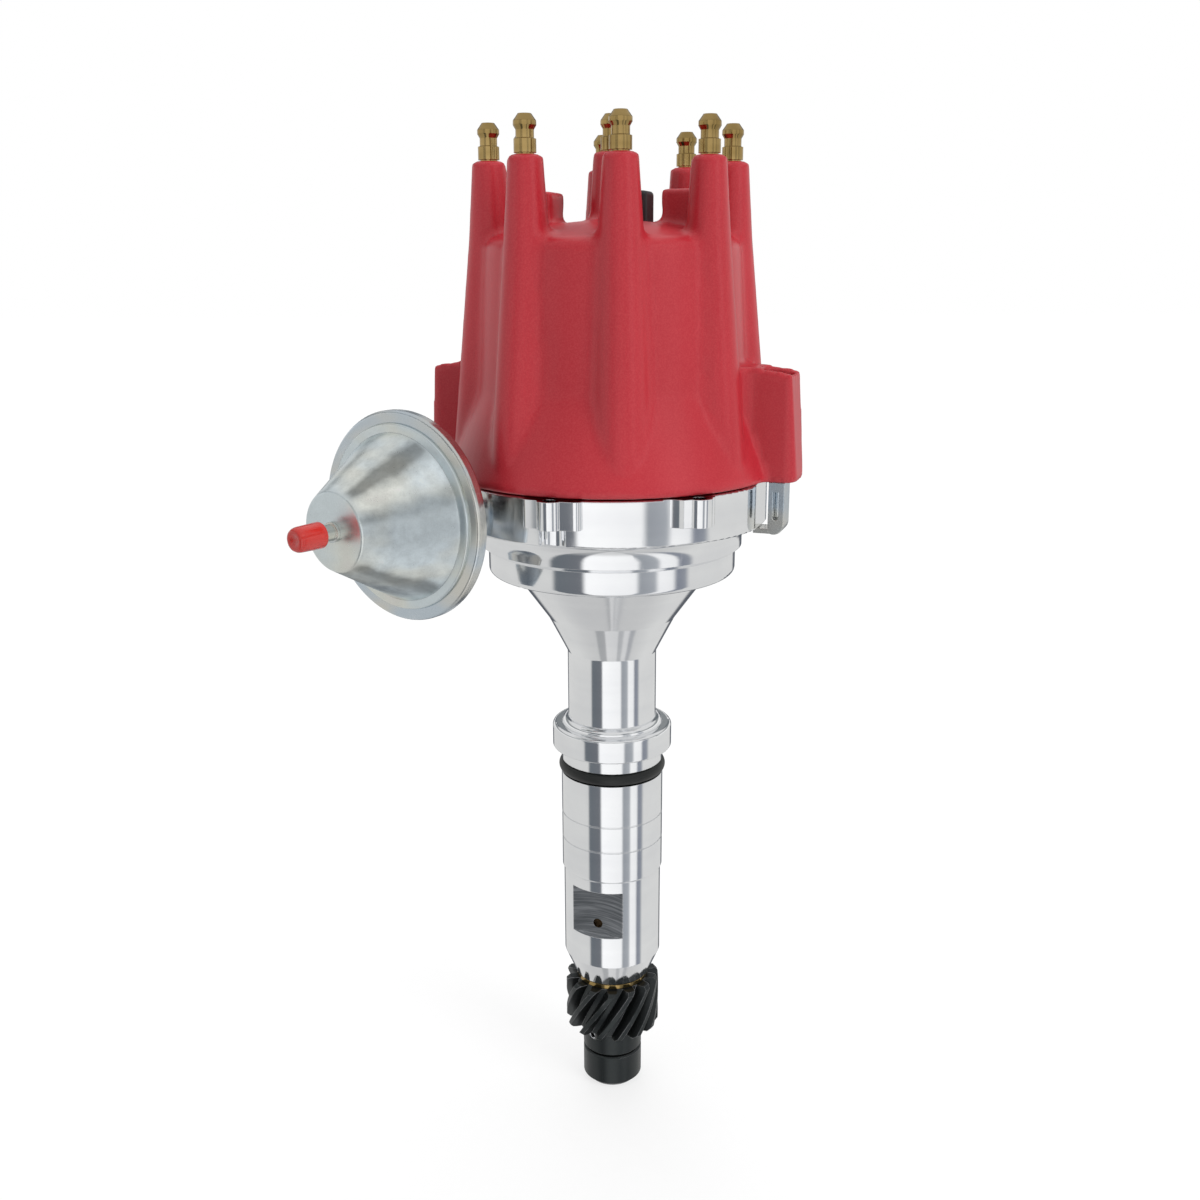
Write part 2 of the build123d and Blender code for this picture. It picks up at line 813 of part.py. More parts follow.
def build_cam():
    """Two-lobed advance cam on the shaft's top, with a spring post over each lobe."""
    cam = extrude(
        Pos(0, 0, cam_bottom_z) * SlotCenterToCenter(2 * cam_lobe_offset, 2 * cam_lobe_radius, 90),
        weight_height,
    )
    for side in (-1, 1):
        cam += disc(cam_post_radius, cam_top_z, cam_top_z + pivot_pin_rise, (0, side * cam_post_offset))
    return cam - disc(shaft_nose_radius, cam_bottom_z, cam_top_z)


def build_advance_plate():
    """Plate that carries the weights and the rotor, on the sleeve that turns about the shaft."""
    bore = shaft_radius + bearing_clearance
    plate = ring(bore, advance_plate_radius, advance_bottom_z, advance_top_z)
    plate += ring(bore, sleeve_radius, sleeve_bottom_z, advance_bottom_z)
    for side in (0, 180):
        pivot = polar(pivot_radius, pivot_azimuth + side)
        plate -= disc(pivot_pin_radius, advance_bottom_z, advance_top_z, pivot)
        plate -= disc(screw_radius, advance_bottom_z, advance_top_z, polar(rotor_leg_offset, side))
    return plate


def build_reluctor():
    """Pointed iron wheel pressed on the sleeve."""
    corners = []
    for point in range(reluctor_points):
        crest = first_tower_azimuth + point * 360 / reluctor_points
        corners.append(polar(reluctor_valley_radius, crest - reluctor_valley_half_angle))
        corners.append(polar(reluctor_radius, crest - reluctor_tip_half_angle))
        corners.append(polar(reluctor_radius, crest + reluctor_tip_half_angle))
        corners.append(polar(reluctor_valley_radius, crest + reluctor_valley_half_angle))
    star = extrude(Pos(0, 0, reluctor_bottom_z) * make_face(Polyline(*corners, close=True)), reluctor_height)
    return star - disc(sleeve_radius, reluctor_bottom_z, reluctor_top_z)


def build_weight():
    """Curved flyweight on the right of the shaft; it pivots at its rear end."""
    span = (90 - weight_half_span, 90 + weight_half_span)
    top = cam_bottom_z + weight_height
    weight = sector(weight_inner_radius, weight_outer_radius, span, cam_bottom_z, top)
    weight = fillet(weight.edges().filter_by(Axis.Z), weight_height / 2)
    pivot = polar(pivot_radius, pivot_azimuth)
    return weight - disc(pivot_pin_radius + bearing_clearance, cam_bottom_z, top, pivot)


def build_advance_spring():
    """Tension spring from the left weight's pivot pin to the front post of the cam."""
    pin = polar(pivot_radius, pivot_azimuth + 180)
    post = polar(cam_post_offset, plate_travel / 2 + 1)
    across = post - pin
    middle_z = cam_top_z + pivot_pin_rise / 2
    half = spring_wire / 2
    span = (middle_z - half, middle_z + half)
    spring = ring(pivot_pin_radius, pivot_pin_radius + spring_wire, *span, at=pin)
    spring += ring(spring_eye_radius, spring_eye_radius + spring_wire, *span, at=post)
    length = across.length
    near = pivot_pin_radius + spring_wire / 2
    far = length - spring_eye_radius - spring_wire / 2
    line = Plane((pin.X, pin.Y, middle_z), x_dir=across.normalized(), z_dir=(0, 0, 1))
    coil_start = near + spring_coil_radius / 2
    coil_end = far - spring_coil_radius / 2
    body = Rot(0, 90, 0) * coil(spring_coil_radius, spring_wire, spring_turns, 0, coil_end - coil_start)
    body = Pos(coil_start, 0, 0) * body
    bar = block((near, far), (-half, half), (-half, half))
    bars = bar & (
        block((near, coil_start + spring_wire), (-half, half), (-half, half))
        + block((coil_end - spring_wire, far), (-half, half), (-half, half))
    )
    links = []
    for x in (coil_start, coil_end - spring_wire):
        links.append(block((x, x + spring_wire), (-half, half), (-spring_coil_radius, spring_coil_radius)))
    return spring + line.location * (body + bars + links[0] + links[1])


def build_plate():
    """Pickup plate on its hub, with the pin that the vacuum rod pulls."""
    bore = boss_radius + plate_clearance
    plate = ring(bore, plate_hub_radius, shoulder_z, plate_bottom_z)
    plate += ring(bore, plate_radius, plate_bottom_z, plate_top_z)
    pin = polar(can_offset, can_azimuth - 90)
    plate += disc(arm_pin_radius, plate_top_z, plate_top_z + arm_pin_height, pin)
    for spot in pickup_spots():
        plate -= disc(screw_radius, plate_bottom_z, plate_top_z, spot)
    return plate


coil_z = (reluctor_bottom_z + reluctor_top_z) / 2
pole_tip_radius = reluctor_radius + pole_gap
coil_start_radius = pole_tip_radius + pole_leg
coil_end_radius = coil_start_radius + coil_length


def pickup_spots():
    """Centres of the two screws through the pole piece's foot."""
    radius = coil_end_radius + pole_foot_length / 2
    return [polar(radius, pickup_azimuth + side * pole_screw_angle) for side in (-1, 1)]


def build_pole():
    """Iron core through the coil, on an upright leg with a screwed foot."""
    foot_top = plate_top_z + bracket_sheet
    leg = block(
        (-pole_radius, pole_radius),
        (-coil_end_radius - pole_leg, -coil_end_radius),
        (plate_top_z, coil_z + pole_radius),
    )
    foot = block(
        (-pole_width / 2, pole_width / 2),
        (-coil_end_radius - pole_foot_length, -coil_end_radius),
        (plate_top_z, foot_top),
    )
    core_plane = Plane((0, -pole_tip_radius, coil_z), z_dir=(0, -1, 0))
    core = extrude(core_plane * Circle(pole_radius), coil_end_radius - pole_tip_radius + pole_leg / 2)
    body = turn(leg + foot + core, pickup_azimuth)
    for spot in pickup_spots():
        body -= disc(screw_radius, plate_top_z, foot_top, spot)
    return body


def build_pickup_coil():
    """Wound coil between two cheeks, lying on the line to the shaft."""
    profile = turned(
        (pole_radius, 0),
        (coil_radius, 0),
        (coil_radius, coil_cheek),
        (coil_radius - coil_cheek, coil_cheek),
        (coil_radius - coil_cheek, coil_length - coil_cheek),
        (coil_radius, coil_length - coil_cheek),
        (coil_radius, coil_length),
        (pole_radius, coil_length),
    )
    frame = Plane((0, -coil_start_radius, coil_z), x_dir=(1, 0, 0), z_dir=(0, -1, 0))
    return turn(frame.location * profile, pickup_azimuth)


def build_snap_ring():
    """Open ring in the boss's groove that keeps the pickup plate down."""
    body = ring(boss_radius - snap_ring_groove, snap_ring_radius, snap_ring_z, snap_ring_z + snap_ring_height)
    gap = block((-snap_ring_gap / 2, snap_ring_gap / 2), (-plate_radius, 0), (snap_ring_z - 1, boss_top_z))
    return body - turn(gap, can_azimuth)


def build_rotor():
    """Moulded rotor: a disc on two legs, a tapering column and an arm."""
    body = disc(rotor_disc_radius, rotor_disc_z, rotor_disc_top_z)
    body = fillet(body.edges().sort_by(Axis.Z)[-1], rotor_disc_height / 3)
    for side in (0, 180):
        spot = polar(rotor_leg_offset, side)
        body += disc(rotor_leg_radius, advance_top_z, rotor_disc_z, spot)
    body += turned(
        (0, rotor_disc_top_z - 1),
        (rotor_column_radius, rotor_disc_top_z - 1),
        (rotor_column_top_radius, blade_bottom_z),
        (0, blade_bottom_z),
    )
    half = rotor_arm_width / 2
    arm = block((-half, half), (-rotor_arm_reach, half), (blade_bottom_z - rotor_arm_depth, blade_bottom_z))
    body += turn(arm, rotor_azimuth)
    for side in (0, 180):
        spot = polar(rotor_leg_offset, side)
        body -= disc(screw_radius, advance_top_z, rotor_disc_top_z, spot)
    rivet = polar(contact_reach, rotor_azimuth)
    return body - disc(screw_radius, blade_bottom_z - screw_grip + blade_height, blade_bottom_z, rivet)


def build_blade():
    """Brass strip along the rotor's arm; its end passes the terminals' inner ends."""
    half = blade_width / 2
    strip = block((-half, half), (-blade_reach, half), (blade_bottom_z, blade_top_z))
    rivet = polar(contact_reach, rotor_azimuth)
    return turn(strip, rotor_azimuth) - disc(screw_radius, blade_bottom_z, blade_top_z, rivet)


def build_contact():
    """Springy strip that rises from the blade to the carbon button."""
    low = blade_top_z
    high = contact_z
    side = outline(
        (-contact_reach - blade_width / 2, low),
        (-contact_reach / 2, low),
        (-blade_width / 2, high - contact_strip),
        (blade_width / 2, high - contact_strip),
        (blade_width / 2, high),
        (-blade_width / 2 - contact_strip, high),
        (-contact_reach / 2 - contact_strip / 2, low + contact_strip),
        (-contact_reach - blade_width / 2, low + contact_strip),
    )
    half = blade_width / 2 - contact_strip
    strip = extrude(Plane((-half, 0, 0), x_dir=(0, 1, 0), z_dir=(1, 0, 0)) * side, 2 * half)
    rivet = polar(contact_reach, rotor_azimuth)
    return turn(strip, rotor_azimuth) - disc(screw_radius, low, low + contact_strip, rivet)


def hollow_arc(middle, radius, start, end):
    """Step of an outline that curves inwards round a middle outside the shape."""
    towards = (Vector(*start) + Vector(*end)) / 2 - middle
    crest = middle + towards.normalized() * radius
    return (crest.X, crest.Y), end


def rib_section(height, blend):
    """Level cut through a rib: a round front with a hollow blend into the wall on each side."""
    down = (tower_base_z - height) / (tower_base_z - rim_z)
    offset = tower_ring_radius + (rib_foot_offset - tower_ring_radius) * down
    front = tower_base_radius + (rib_foot_radius - tower_base_radius) * down
    wall_slope = (knee_radius - shoulder_radius) / (shoulder_top_z - knee_z)
    wall = shoulder_radius + (shoulder_top_z - min(height, shoulder_top_z)) * wall_slope
    reach = wall + blend
    middle_y = -(reach**2 + offset**2 - (front + blend) ** 2) / (2 * offset)
    middle_x = sqrt(reach**2 - middle_y**2)
    at_wall = [middle * wall / reach for middle in (middle_x, middle_y)]
    share = front / (front + blend)
    at_front = (middle_x * share, -offset + (middle_y + offset) * share)
    left_wall, right_wall = [(side * at_wall[0], at_wall[1]) for side in (-1, 1)]
    left_front, right_front = [(side * at_front[0], at_front[1]) for side in (-1, 1)]
    face = outline(
        left_wall,
        hollow_arc(Vector(-middle_x, middle_y), blend, left_wall, left_front),
        ((0, -offset - front), right_front),
        hollow_arc(Vector(middle_x, middle_y), blend, right_front, right_wall),
    )
    return Pos(0, 0, height) * face


def tower(azimuth):
    """One lead tower: a tapering round top over a wider rib that leans out to the rim."""
    top = turned(
        (0, tower_base_z - 1),
        (tower_base_radius, tower_base_z - 1),
        (tower_base_radius, tower_base_z),
        (tower_top_radius, tower_top_z),
        (0, tower_top_z),
        rounds=(((tower_top_radius, tower_top_z), tower_edge),),
    )
    levels = ((rim_z, rib_blend), (shoulder_top_z - shoulder_round, rib_blend), (tower_base_z, rib_blend_end))
    rib = loft([rib_section(height, blend) for height, blend in levels], ruled=True)
    return turn(Pos(0, -tower_ring_radius, 0) * top + rib, azimuth)


def ear(azimuth):
    """Latch ear: an upright box with a sloping top, blended into the wall on each side."""
    side = outline(
        (-cavity_top_radius, rim_z),
        (-ear_reach, rim_z),
        (-ear_reach + ear_draft, ear_top_z),
        (-cove_end_radius, ear_top_z + ear_slope),
        (-cavity_top_radius, ear_top_z + ear_slope),
    )
    middle_x = ear_half_width + ear_blend
    reach = ear_blend_radius + ear_blend
    middle_y = -sqrt(reach**2 - middle_x**2)
    at_wall = [middle * ear_blend_radius / reach for middle in (middle_x, middle_y)]
    left_wall, right_wall = [(way * at_wall[0], at_wall[1]) for way in (-1, 1)]
    left_side, right_side = [(way * ear_half_width, middle_y) for way in (-1, 1)]
    plan = outline(
        left_wall,
        hollow_arc(Vector(-middle_x, middle_y), ear_blend, left_wall, left_side),
        (-ear_half_width, -ear_reach),
        (ear_half_width, -ear_reach),
        right_side,
        hollow_arc(Vector(middle_x, middle_y), ear_blend, right_side, right_wall),
    )
    corners = [((way * ear_half_width, -ear_reach), ear_corner) for way in (-1, 1)]
    body = extrude(Pos(0, 0, rim_z) * rounded(plan, corners), ear_height + ear_slope)
    slab = extrude(Plane((-middle_x, 0, 0), x_dir=(0, 1, 0), z_dir=(1, 0, 0)) * side, 2 * middle_x)
    return turn(body & slab, azimuth)


def ear_pocket(azimuth):
    """Open pocket in an ear's top and the bore for the latch screw under it."""
    pocket = block(
        (-pocket_half_width, pocket_half_width),
        (-pocket_outer_radius, -pocket_inner_radius),
        (pocket_floor_z, ear_top_z + 2 * ear_slope),
    )
    pocket = fillet(pocket.edges().filter_by(Axis.Z), ear_corner / 2)
    bore = disc(latch_screw_radius + latch_bore_clearance, rim_z, pocket_floor_z, (0, -latch_axis_radius))
    return turn(pocket + bore, azimuth)


def dome_block(inner, length, width, bottom, top, edge, azimuth):
    """Raised block on the dome with softened upright and top edges."""
    body = block((-width / 2, width / 2), (-inner - length, -inner), (bottom, top))
    body = fillet(body.edges().filter_by(Axis.Z) + body.faces().sort_by(Axis.Z)[-1].edges(), edge)
    return turn(body, azimuth)


def build_cap():
    """Moulded cap: wall, dome, towers, ears and blocks around one cavity."""
    wall = turned(
        (0, flange_top_z - spigot_length),
        (flange_inner_radius - cap_fit, flange_top_z - spigot_length),
        (flange_inner_radius - cap_fit, flange_top_z),
        (flange_radius - rim_gap_depth, flange_top_z),
        (flange_radius - rim_gap_depth, rim_z),
        (rim_radius, rim_z),
        (rim_radius, rim_z + rim_band),
        (knee_radius, knee_z),
        (shoulder_radius, shoulder_top_z),
        ((shoulder_radius * 0.5, crown_z - dome_drop * 0.25), (0, crown_z)),
        rounds=(
            ((rim_radius, rim_z + rim_band), rim_band),
            ((knee_radius, knee_z), knee_round),
            ((shoulder_radius, shoulder_top_z), shoulder_round),
        ),
    )
    body = wall
    for azimuth in tower_azimuths:
        body += tower(azimuth)
    body += turned(
        (0, crown_z - dome_drop),
        (centre_tower_base_radius + dome_drop / 2, crown_z - dome_drop),
        (centre_tower_base_radius, crown_z),
        (centre_tower_radius, centre_top_z),
        (0, centre_top_z),
        rounds=(((centre_tower_radius, centre_top_z), tower_edge),),
    )
    for azimuth in (ear_azimuth, ear_azimuth + 180):
        body += ear(azimuth)
        body += dome_block(
            block_inner_radius, block_length, block_width, roof_z + 1, block_top_z, block_edge, azimuth
        )
    spigot_bore = flange_inner_radius - cap_fit - spigot_width
    body -= turned(
        (0, flange_top_z - spigot_length),
        (spigot_bore, flange_top_z - spigot_length),
        (spigot_bore, rim_z + cap_wall),
        (cavity_radius, knee_z),
        (cavity_top_radius, knee_z + cap_wall),
        (cavity_top_radius, roof_z),
        (button_boss_radius, roof_z),
        (button_boss_radius, boss_bottom_z),
        (0, boss_bottom_z),
        rounds=(((cavity_top_radius, roof_z), shoulder_round),),
    )
    for azimuth in (ear_azimuth, ear_azimuth + 180):
        body -= ear_pocket(azimuth)
    body -= vent_shape(vent_bottom_z, vent_top_z)
    body -= vent_duct(roof_z, vent_bottom_z)
    for spot in tower_spots:
        body -= disc(terminal_tail_radius, terminal_bottom_z, plug_grip_z, spot)
        body -= disc(terminal_stem_radius, plug_grip_z, tower_top_z, spot)
    body -= disc(button_radius + button_clearance, boss_bottom_z, coil_terminal_bottom_z)
    body -= disc(terminal_tail_radius, coil_terminal_bottom_z, coil_grip_z)
    return body - disc(terminal_stem_radius, coil_grip_z, centre_top_z)


vent_azimuth = ear_azimuth + 90


def vent_shape(bottom, top):
    """Rounded block that the vent plug and its recess share."""
    return dome_block(vent_inner_radius, vent_length, vent_width, bottom, top, vent_edge, vent_azimuth)


def vent_duct(bottom, top):
    """Upright air duct under the vent plug."""
    spot = polar(vent_inner_radius + vent_length / 2, vent_azimuth)
    return disc(vent_bore, bottom, top, spot)


def build_vent():
    """Plug with a duct up its middle and a port in its rear face."""
    port_z = (crown_z + vent_top_z) / 2
    body = vent_shape(vent_bottom_z, vent_top_z) - vent_duct(vent_bottom_z, port_z)
    port_start = polar(vent_inner_radius + vent_length / 2, vent_azimuth, port_z)
    port = Plane(port_start, z_dir=polar(1, vent_azimuth))
    return body - extrude(port * Circle(vent_bore), vent_length)


def terminal(bottom, grip, base, at):
    """Turned brass terminal: a tail up to grip, a stem, and from base a post with a waist and a head."""
    steps = [base + height for height in terminal_heights]
    shape = turned(
        (0, bottom),
        (terminal_tail_radius, bottom),
        (terminal_tail_radius, grip),
        (terminal_stem_radius, grip),
        (terminal_stem_radius, steps[0]),
        (terminal_radius, steps[0]),
        (terminal_radius, steps[1]),
        (terminal_waist_radius, steps[2]),
        (terminal_waist_radius, steps[3]),
        (terminal_head_radius, steps[4]),
        (terminal_head_radius, steps[5]),
        (terminal_tip_radius, steps[6]),
        (0, steps[6]),
    )
    return Pos(at.X, at.Y, 0) * shape


def build_hook():
    """Stamped latch: a channel that hangs on its sleeve, with a foot curled under the flange."""
    top = rim_z - hook_top_gap
    foot_top = flange_bottom_z - hook_foot_gap
    foot_bottom = foot_top - hook_foot_height
    face = -hook_face_radius
    inner_curl = hook_curl - hook_wall
    lean = cos(radians(45))
    centre = (face + hook_curl, foot_bottom + hook_curl)
    strip = outline(
        (face, top),
        (face, centre[1]),
        ((centre[0] - hook_curl * lean, centre[1] - hook_curl * lean), (centre[0], foot_bottom)),
        (-hook_foot_reach, foot_bottom),
        (-hook_foot_reach, foot_top),
        (centre[0], foot_top),
        ((centre[0] - inner_curl * lean, centre[1] - inner_curl * lean), (face + hook_wall, centre[1])),
        (face + hook_wall, top),
    )
    half = hook_foot_half_width
    side_plane = Plane((-half, 0, 0), x_dir=(0, 1, 0), z_dir=(1, 0, 0))
    hook = extrude(side_plane * strip, 2 * half)
    web_span = (flange_bottom_z + hook_curl, top)
    web = block((-hook_half_width, hook_half_width), (face, face + hook_wall), web_span)
    hook += web
    wall_inner = face + hook_wall_reach
    wall_face = outline((face, top), (face, foot_bottom), (wall_inner, foot_bottom), (wall_inner, top))
    wall_rounds = (((face, foot_bottom), hook_curl), ((wall_inner, foot_bottom), hook_inner_round))
    wall_face = rounded(wall_face, wall_rounds)
    slot_centre = wall_inner - hook_slot_inset - hook_slot_width / 2
    slot_foot_z = flange_bottom_z + hook_slot_foot + hook_slot_width / 2
    for side in (-1, 1):
        start = side * hook_half_width - (hook_wall if side > 0 else 0)
        plane = Plane((start, 0, 0), x_dir=(0, 1, 0), z_dir=(1, 0, 0))
        cheek = extrude(plane * wall_face, hook_wall)
        slot = extrude(plane * (Pos(slot_centre, slot_foot_z) * Circle(hook_slot_width / 2)), hook_wall)
        slot += block(
            (start, start + hook_wall),
            (slot_centre - hook_slot_width / 2, slot_centre + hook_slot_width / 2),
            (slot_foot_z, top - hook_curl),
        )
        hook += cheek - slot
    roof = block((-hook_half_width, hook_half_width), (face, face + hook_wall_reach), (top - hook_wall, top))
    hook += roof
    sleeve_foot_z = flange_bottom_z + latch_sleeve_foot
    hook += disc(latch_sleeve_radius, sleeve_foot_z, top, (0, -latch_axis_radius))
    return hook - disc(latch_screw_radius, sleeve_foot_z, top, (0, -latch_axis_radius))


def build_latch_screw():
    """Latch screw: a slotted head over the spring and a shank down into the hook's sleeve."""
    head_z = pocket_floor_z + latch_spring_length
    body = disc(latch_screw_radius, flange_bottom_z + latch_sleeve_foot, head_z, (0, -latch_axis_radius))
    head = disc(latch_head_radius, head_z, head_z + latch_head_height, (0, -latch_axis_radius))
    head = chamfer(head.edges().sort_by(Axis.Z)[-1], latch_head_slot / 2)
    slot_half = latch_head_slot / 2
    slot = block(
        (-latch_head_radius, latch_head_radius),
        (-latch_axis_radius - slot_half, -latch_axis_radius + slot_half),
        (head_z + latch_head_height / 2, head_z + latch_head_height),
    )
    return body + head - slot


def build_latch_spring():
    """Compression spring between the pocket's floor and the latch screw's head."""
    mean = latch_screw_radius + latch_spring_wire / 2 + latch_bore_clearance / 2
    top = pocket_floor_z + latch_spring_length
    body = coil(mean, latch_spring_wire, latch_spring_turns, pocket_floor_z, top)
    return Pos(0, -latch_axis_radius, 0) * body


def in_can(shape):
    """Shape built along the can's own axis, placed on the distributor."""
    return can_frame.location * shape


crimp_top = 0.0
flange_seat = crimp_top - can_sheet
diaphragm_top = flange_seat - can_sheet
diaphragm_bottom = diaphragm_top - can_sheet
cone_slope = (can_cone_radius - can_face_radius) / (can_depth - can_step_height)
inner_cone_shift = can_sheet * sqrt(1 + cone_slope**2) - can_sheet * cone_slope


def build_can_front():
    """Pressed front shell: a long cone with a flat face, on a stepped rim."""
    return turned(
        (nipple_radius, can_depth),
        (can_face_radius, can_depth),
        (can_cone_radius, can_step_height),
        (can_step_radius, can_step_height),
        (can_step_radius, flange_seat),
        (can_rim_radius - can_sheet, flange_seat),
        (can_rim_radius - can_sheet, diaphragm_top),
        (can_step_radius - can_sheet, diaphragm_top),
        (can_step_radius - can_sheet, 0),
        (can_cone_radius - inner_cone_shift, 0),
        (can_face_radius - inner_cone_shift, can_depth - can_sheet),
        (nipple_radius, can_depth - can_sheet),
        rounds=(
            ((can_face_radius, can_depth), can_sheet),
            ((can_step_radius, can_step_height), can_sheet / 2),
        ),
    )


def build_can_back():
    """Pressed back shell whose rim is rolled over the front shell's rim."""
    low = diaphragm_bottom - can_sheet
    return turned(
        (can_step_radius, crimp_top),
        (can_rim_radius, crimp_top),
        (can_rim_radius, low),
        (can_cone_radius, low),
        (can_back_radius + can_sheet, -can_back_depth),
        (can_back_hole, -can_back_depth),
        (can_back_hole, -can_back_depth + can_sheet),
        (can_back_radius, -can_back_depth + can_sheet),
        (can_cone_radius - can_sheet, diaphragm_bottom),
        (can_rim_radius - can_sheet, diaphragm_bottom),
        (can_rim_radius - can_sheet, flange_seat),
        (can_step_radius, flange_seat),
        rounds=(
            ((can_rim_radius, crimp_top), can_sheet),
            ((can_rim_radius, low), can_sheet),
        ),
    )


def build_diaphragm():
    """Rubber diaphragm, its rim held between the shells and its middle dished towards the back."""
    middle_top = diaphragm_top - diaphragm_dish
    middle_bottom = diaphragm_bottom - diaphragm_dish
    return turned(
        (diaphragm_hole, middle_bottom),
        (cup_radius, middle_bottom),
        (can_cone_radius - can_sheet - diaphragm_dish, diaphragm_bottom),
        (can_rim_radius - can_sheet, diaphragm_bottom),
        (can_rim_radius - can_sheet, diaphragm_top),
        (can_cone_radius - can_sheet - diaphragm_dish, diaphragm_top),
        (cup_radius, middle_top),
        (diaphragm_hole, middle_top),
    )


cup_floor = diaphragm_top - diaphragm_dish
cup_floor_top = cup_floor + can_sheet
pull_length = can_offset * radians(plate_travel)


def build_cup():
    """Shallow metal cup on the diaphragm that the rod is riveted to."""
    return turned(
        (rod_radius, cup_floor),
        (cup_radius - can_sheet, cup_floor),
        (cup_radius - can_sheet, cup_floor + cup_height),
        (cup_radius - 2 * can_sheet, cup_floor + cup_height),
        (cup_radius - 2 * can_sheet, cup_floor_top),
        (rod_radius, cup_floor_top),
    )


def build_can_spring():
    """Return spring on the inner face of the front shell; it leaves room for the cup's whole travel."""
    low = cup_floor_top + pull_length + weight_gap
    return coil(can_spring_radius, can_spring_wire, can_spring_turns, low, can_depth - can_sheet)


def build_nipple():
    """Steel hose nipple with a collar on the can's face."""
    tube = ring(nipple_bore, nipple_radius, can_depth - can_sheet, can_depth + nipple_length)
    return tube + ring(nipple_bore, nipple_collar_radius, can_depth, can_depth + can_sheet)


def build_nipple_cap():
    """Soft pull-off cap over the nipple, with a rolled mouth and a rounded closed end."""
    start = can_depth + nipple_cap_start
    end = start + nipple_cap_length
    bore = nipple_radius + nipple_cap_clearance
    bore_end = can_depth + nipple_length + nipple_cap_clearance
    return turned(
        (bore, start),
        (nipple_cap_radius, start),
        (nipple_cap_radius, start + can_sheet),
        (nipple_cap_end_radius, end),
        (0, end),
        (0, bore_end),
        (bore, bore_end),
        rounds=(
            ((nipple_cap_radius, start), can_sheet / 3),
            ((nipple_cap_end_radius, end), can_sheet),
        ),
    )


def build_rod():
    """Vacuum rod: a flat blade with a slot over the plate's pin, then a round rod into the can."""
    blade_z = plate_top_z + rod_blade_gap
    end = can_distance + cup_floor_top
    half = rod_blade_width / 2
    swing = can_offset * (1 - cos(radians(plate_travel)))
    blade = block((0, rod_blade_length), (-half, half), (blade_z, blade_z + rod_blade_height))
    blade += disc(half, blade_z, blade_z + rod_blade_height)
    hole = arm_pin_radius + rod_pin_clearance
    blade -= disc(hole, blade_z, blade_z + rod_blade_height)
    blade -= disc(hole, blade_z, blade_z + rod_blade_height, (0, swing))
    blade -= block((-hole, hole), (0, swing), (blade_z, blade_z + rod_blade_height))
    start = rod_blade_length - rod_radius
    bar = extrude(Plane((start, 0, can_axis_z), z_dir=(1, 0, 0)) * Circle(rod_radius), end - start)
    return rod_line.location * (blade + bar)


def build_bracket():
    """Bent strip that holds the can: a foot on the ledge, an arm through the window and a tab."""
    foot_outer = flange_inner_radius - cap_fit
    foot = sector(bracket_inner_radius, foot_outer, bracket_span, ledge_z, ledge_z + bracket_sheet)
    half = bracket_arm_width / 2
    reach = sqrt(bracket_inner_radius**2 - can_offset**2)
    arm = block((reach, can_back_along), (-half, half), (ledge_z, ledge_z + bracket_sheet))
    tab_plane = Plane((can_back_along - bracket_sheet, 0, can_axis_z), z_dir=(1, 0, 0))
    tab = extrude(tab_plane * (Circle(bracket_tab_radius) - Circle(can_back_hole)), bracket_sheet)
    body = rod_line.location * (arm + tab)
    body -= disc(bracket_inner_radius + bracket_sheet, ledge_z - 1, ledge_z + bracket_sheet + 1)
    body += foot
    for spot in bolt_spots:
        body -= disc(screw_hole_radius, ledge_z, ledge_z + bracket_sheet, spot)
    return body


def build_module():
    """Curved ignition module on the bowl's floor."""
    top = floor_z + module_height
    body = sector(module_inner_radius, module_outer_radius, module_span, floor_z, top)
    body = fillet(body.edges().filter_by(Axis.Z), bowl_corner)
    for spot in module_spots:
        body -= disc(screw_radius, floor_z, top, spot)
    return body


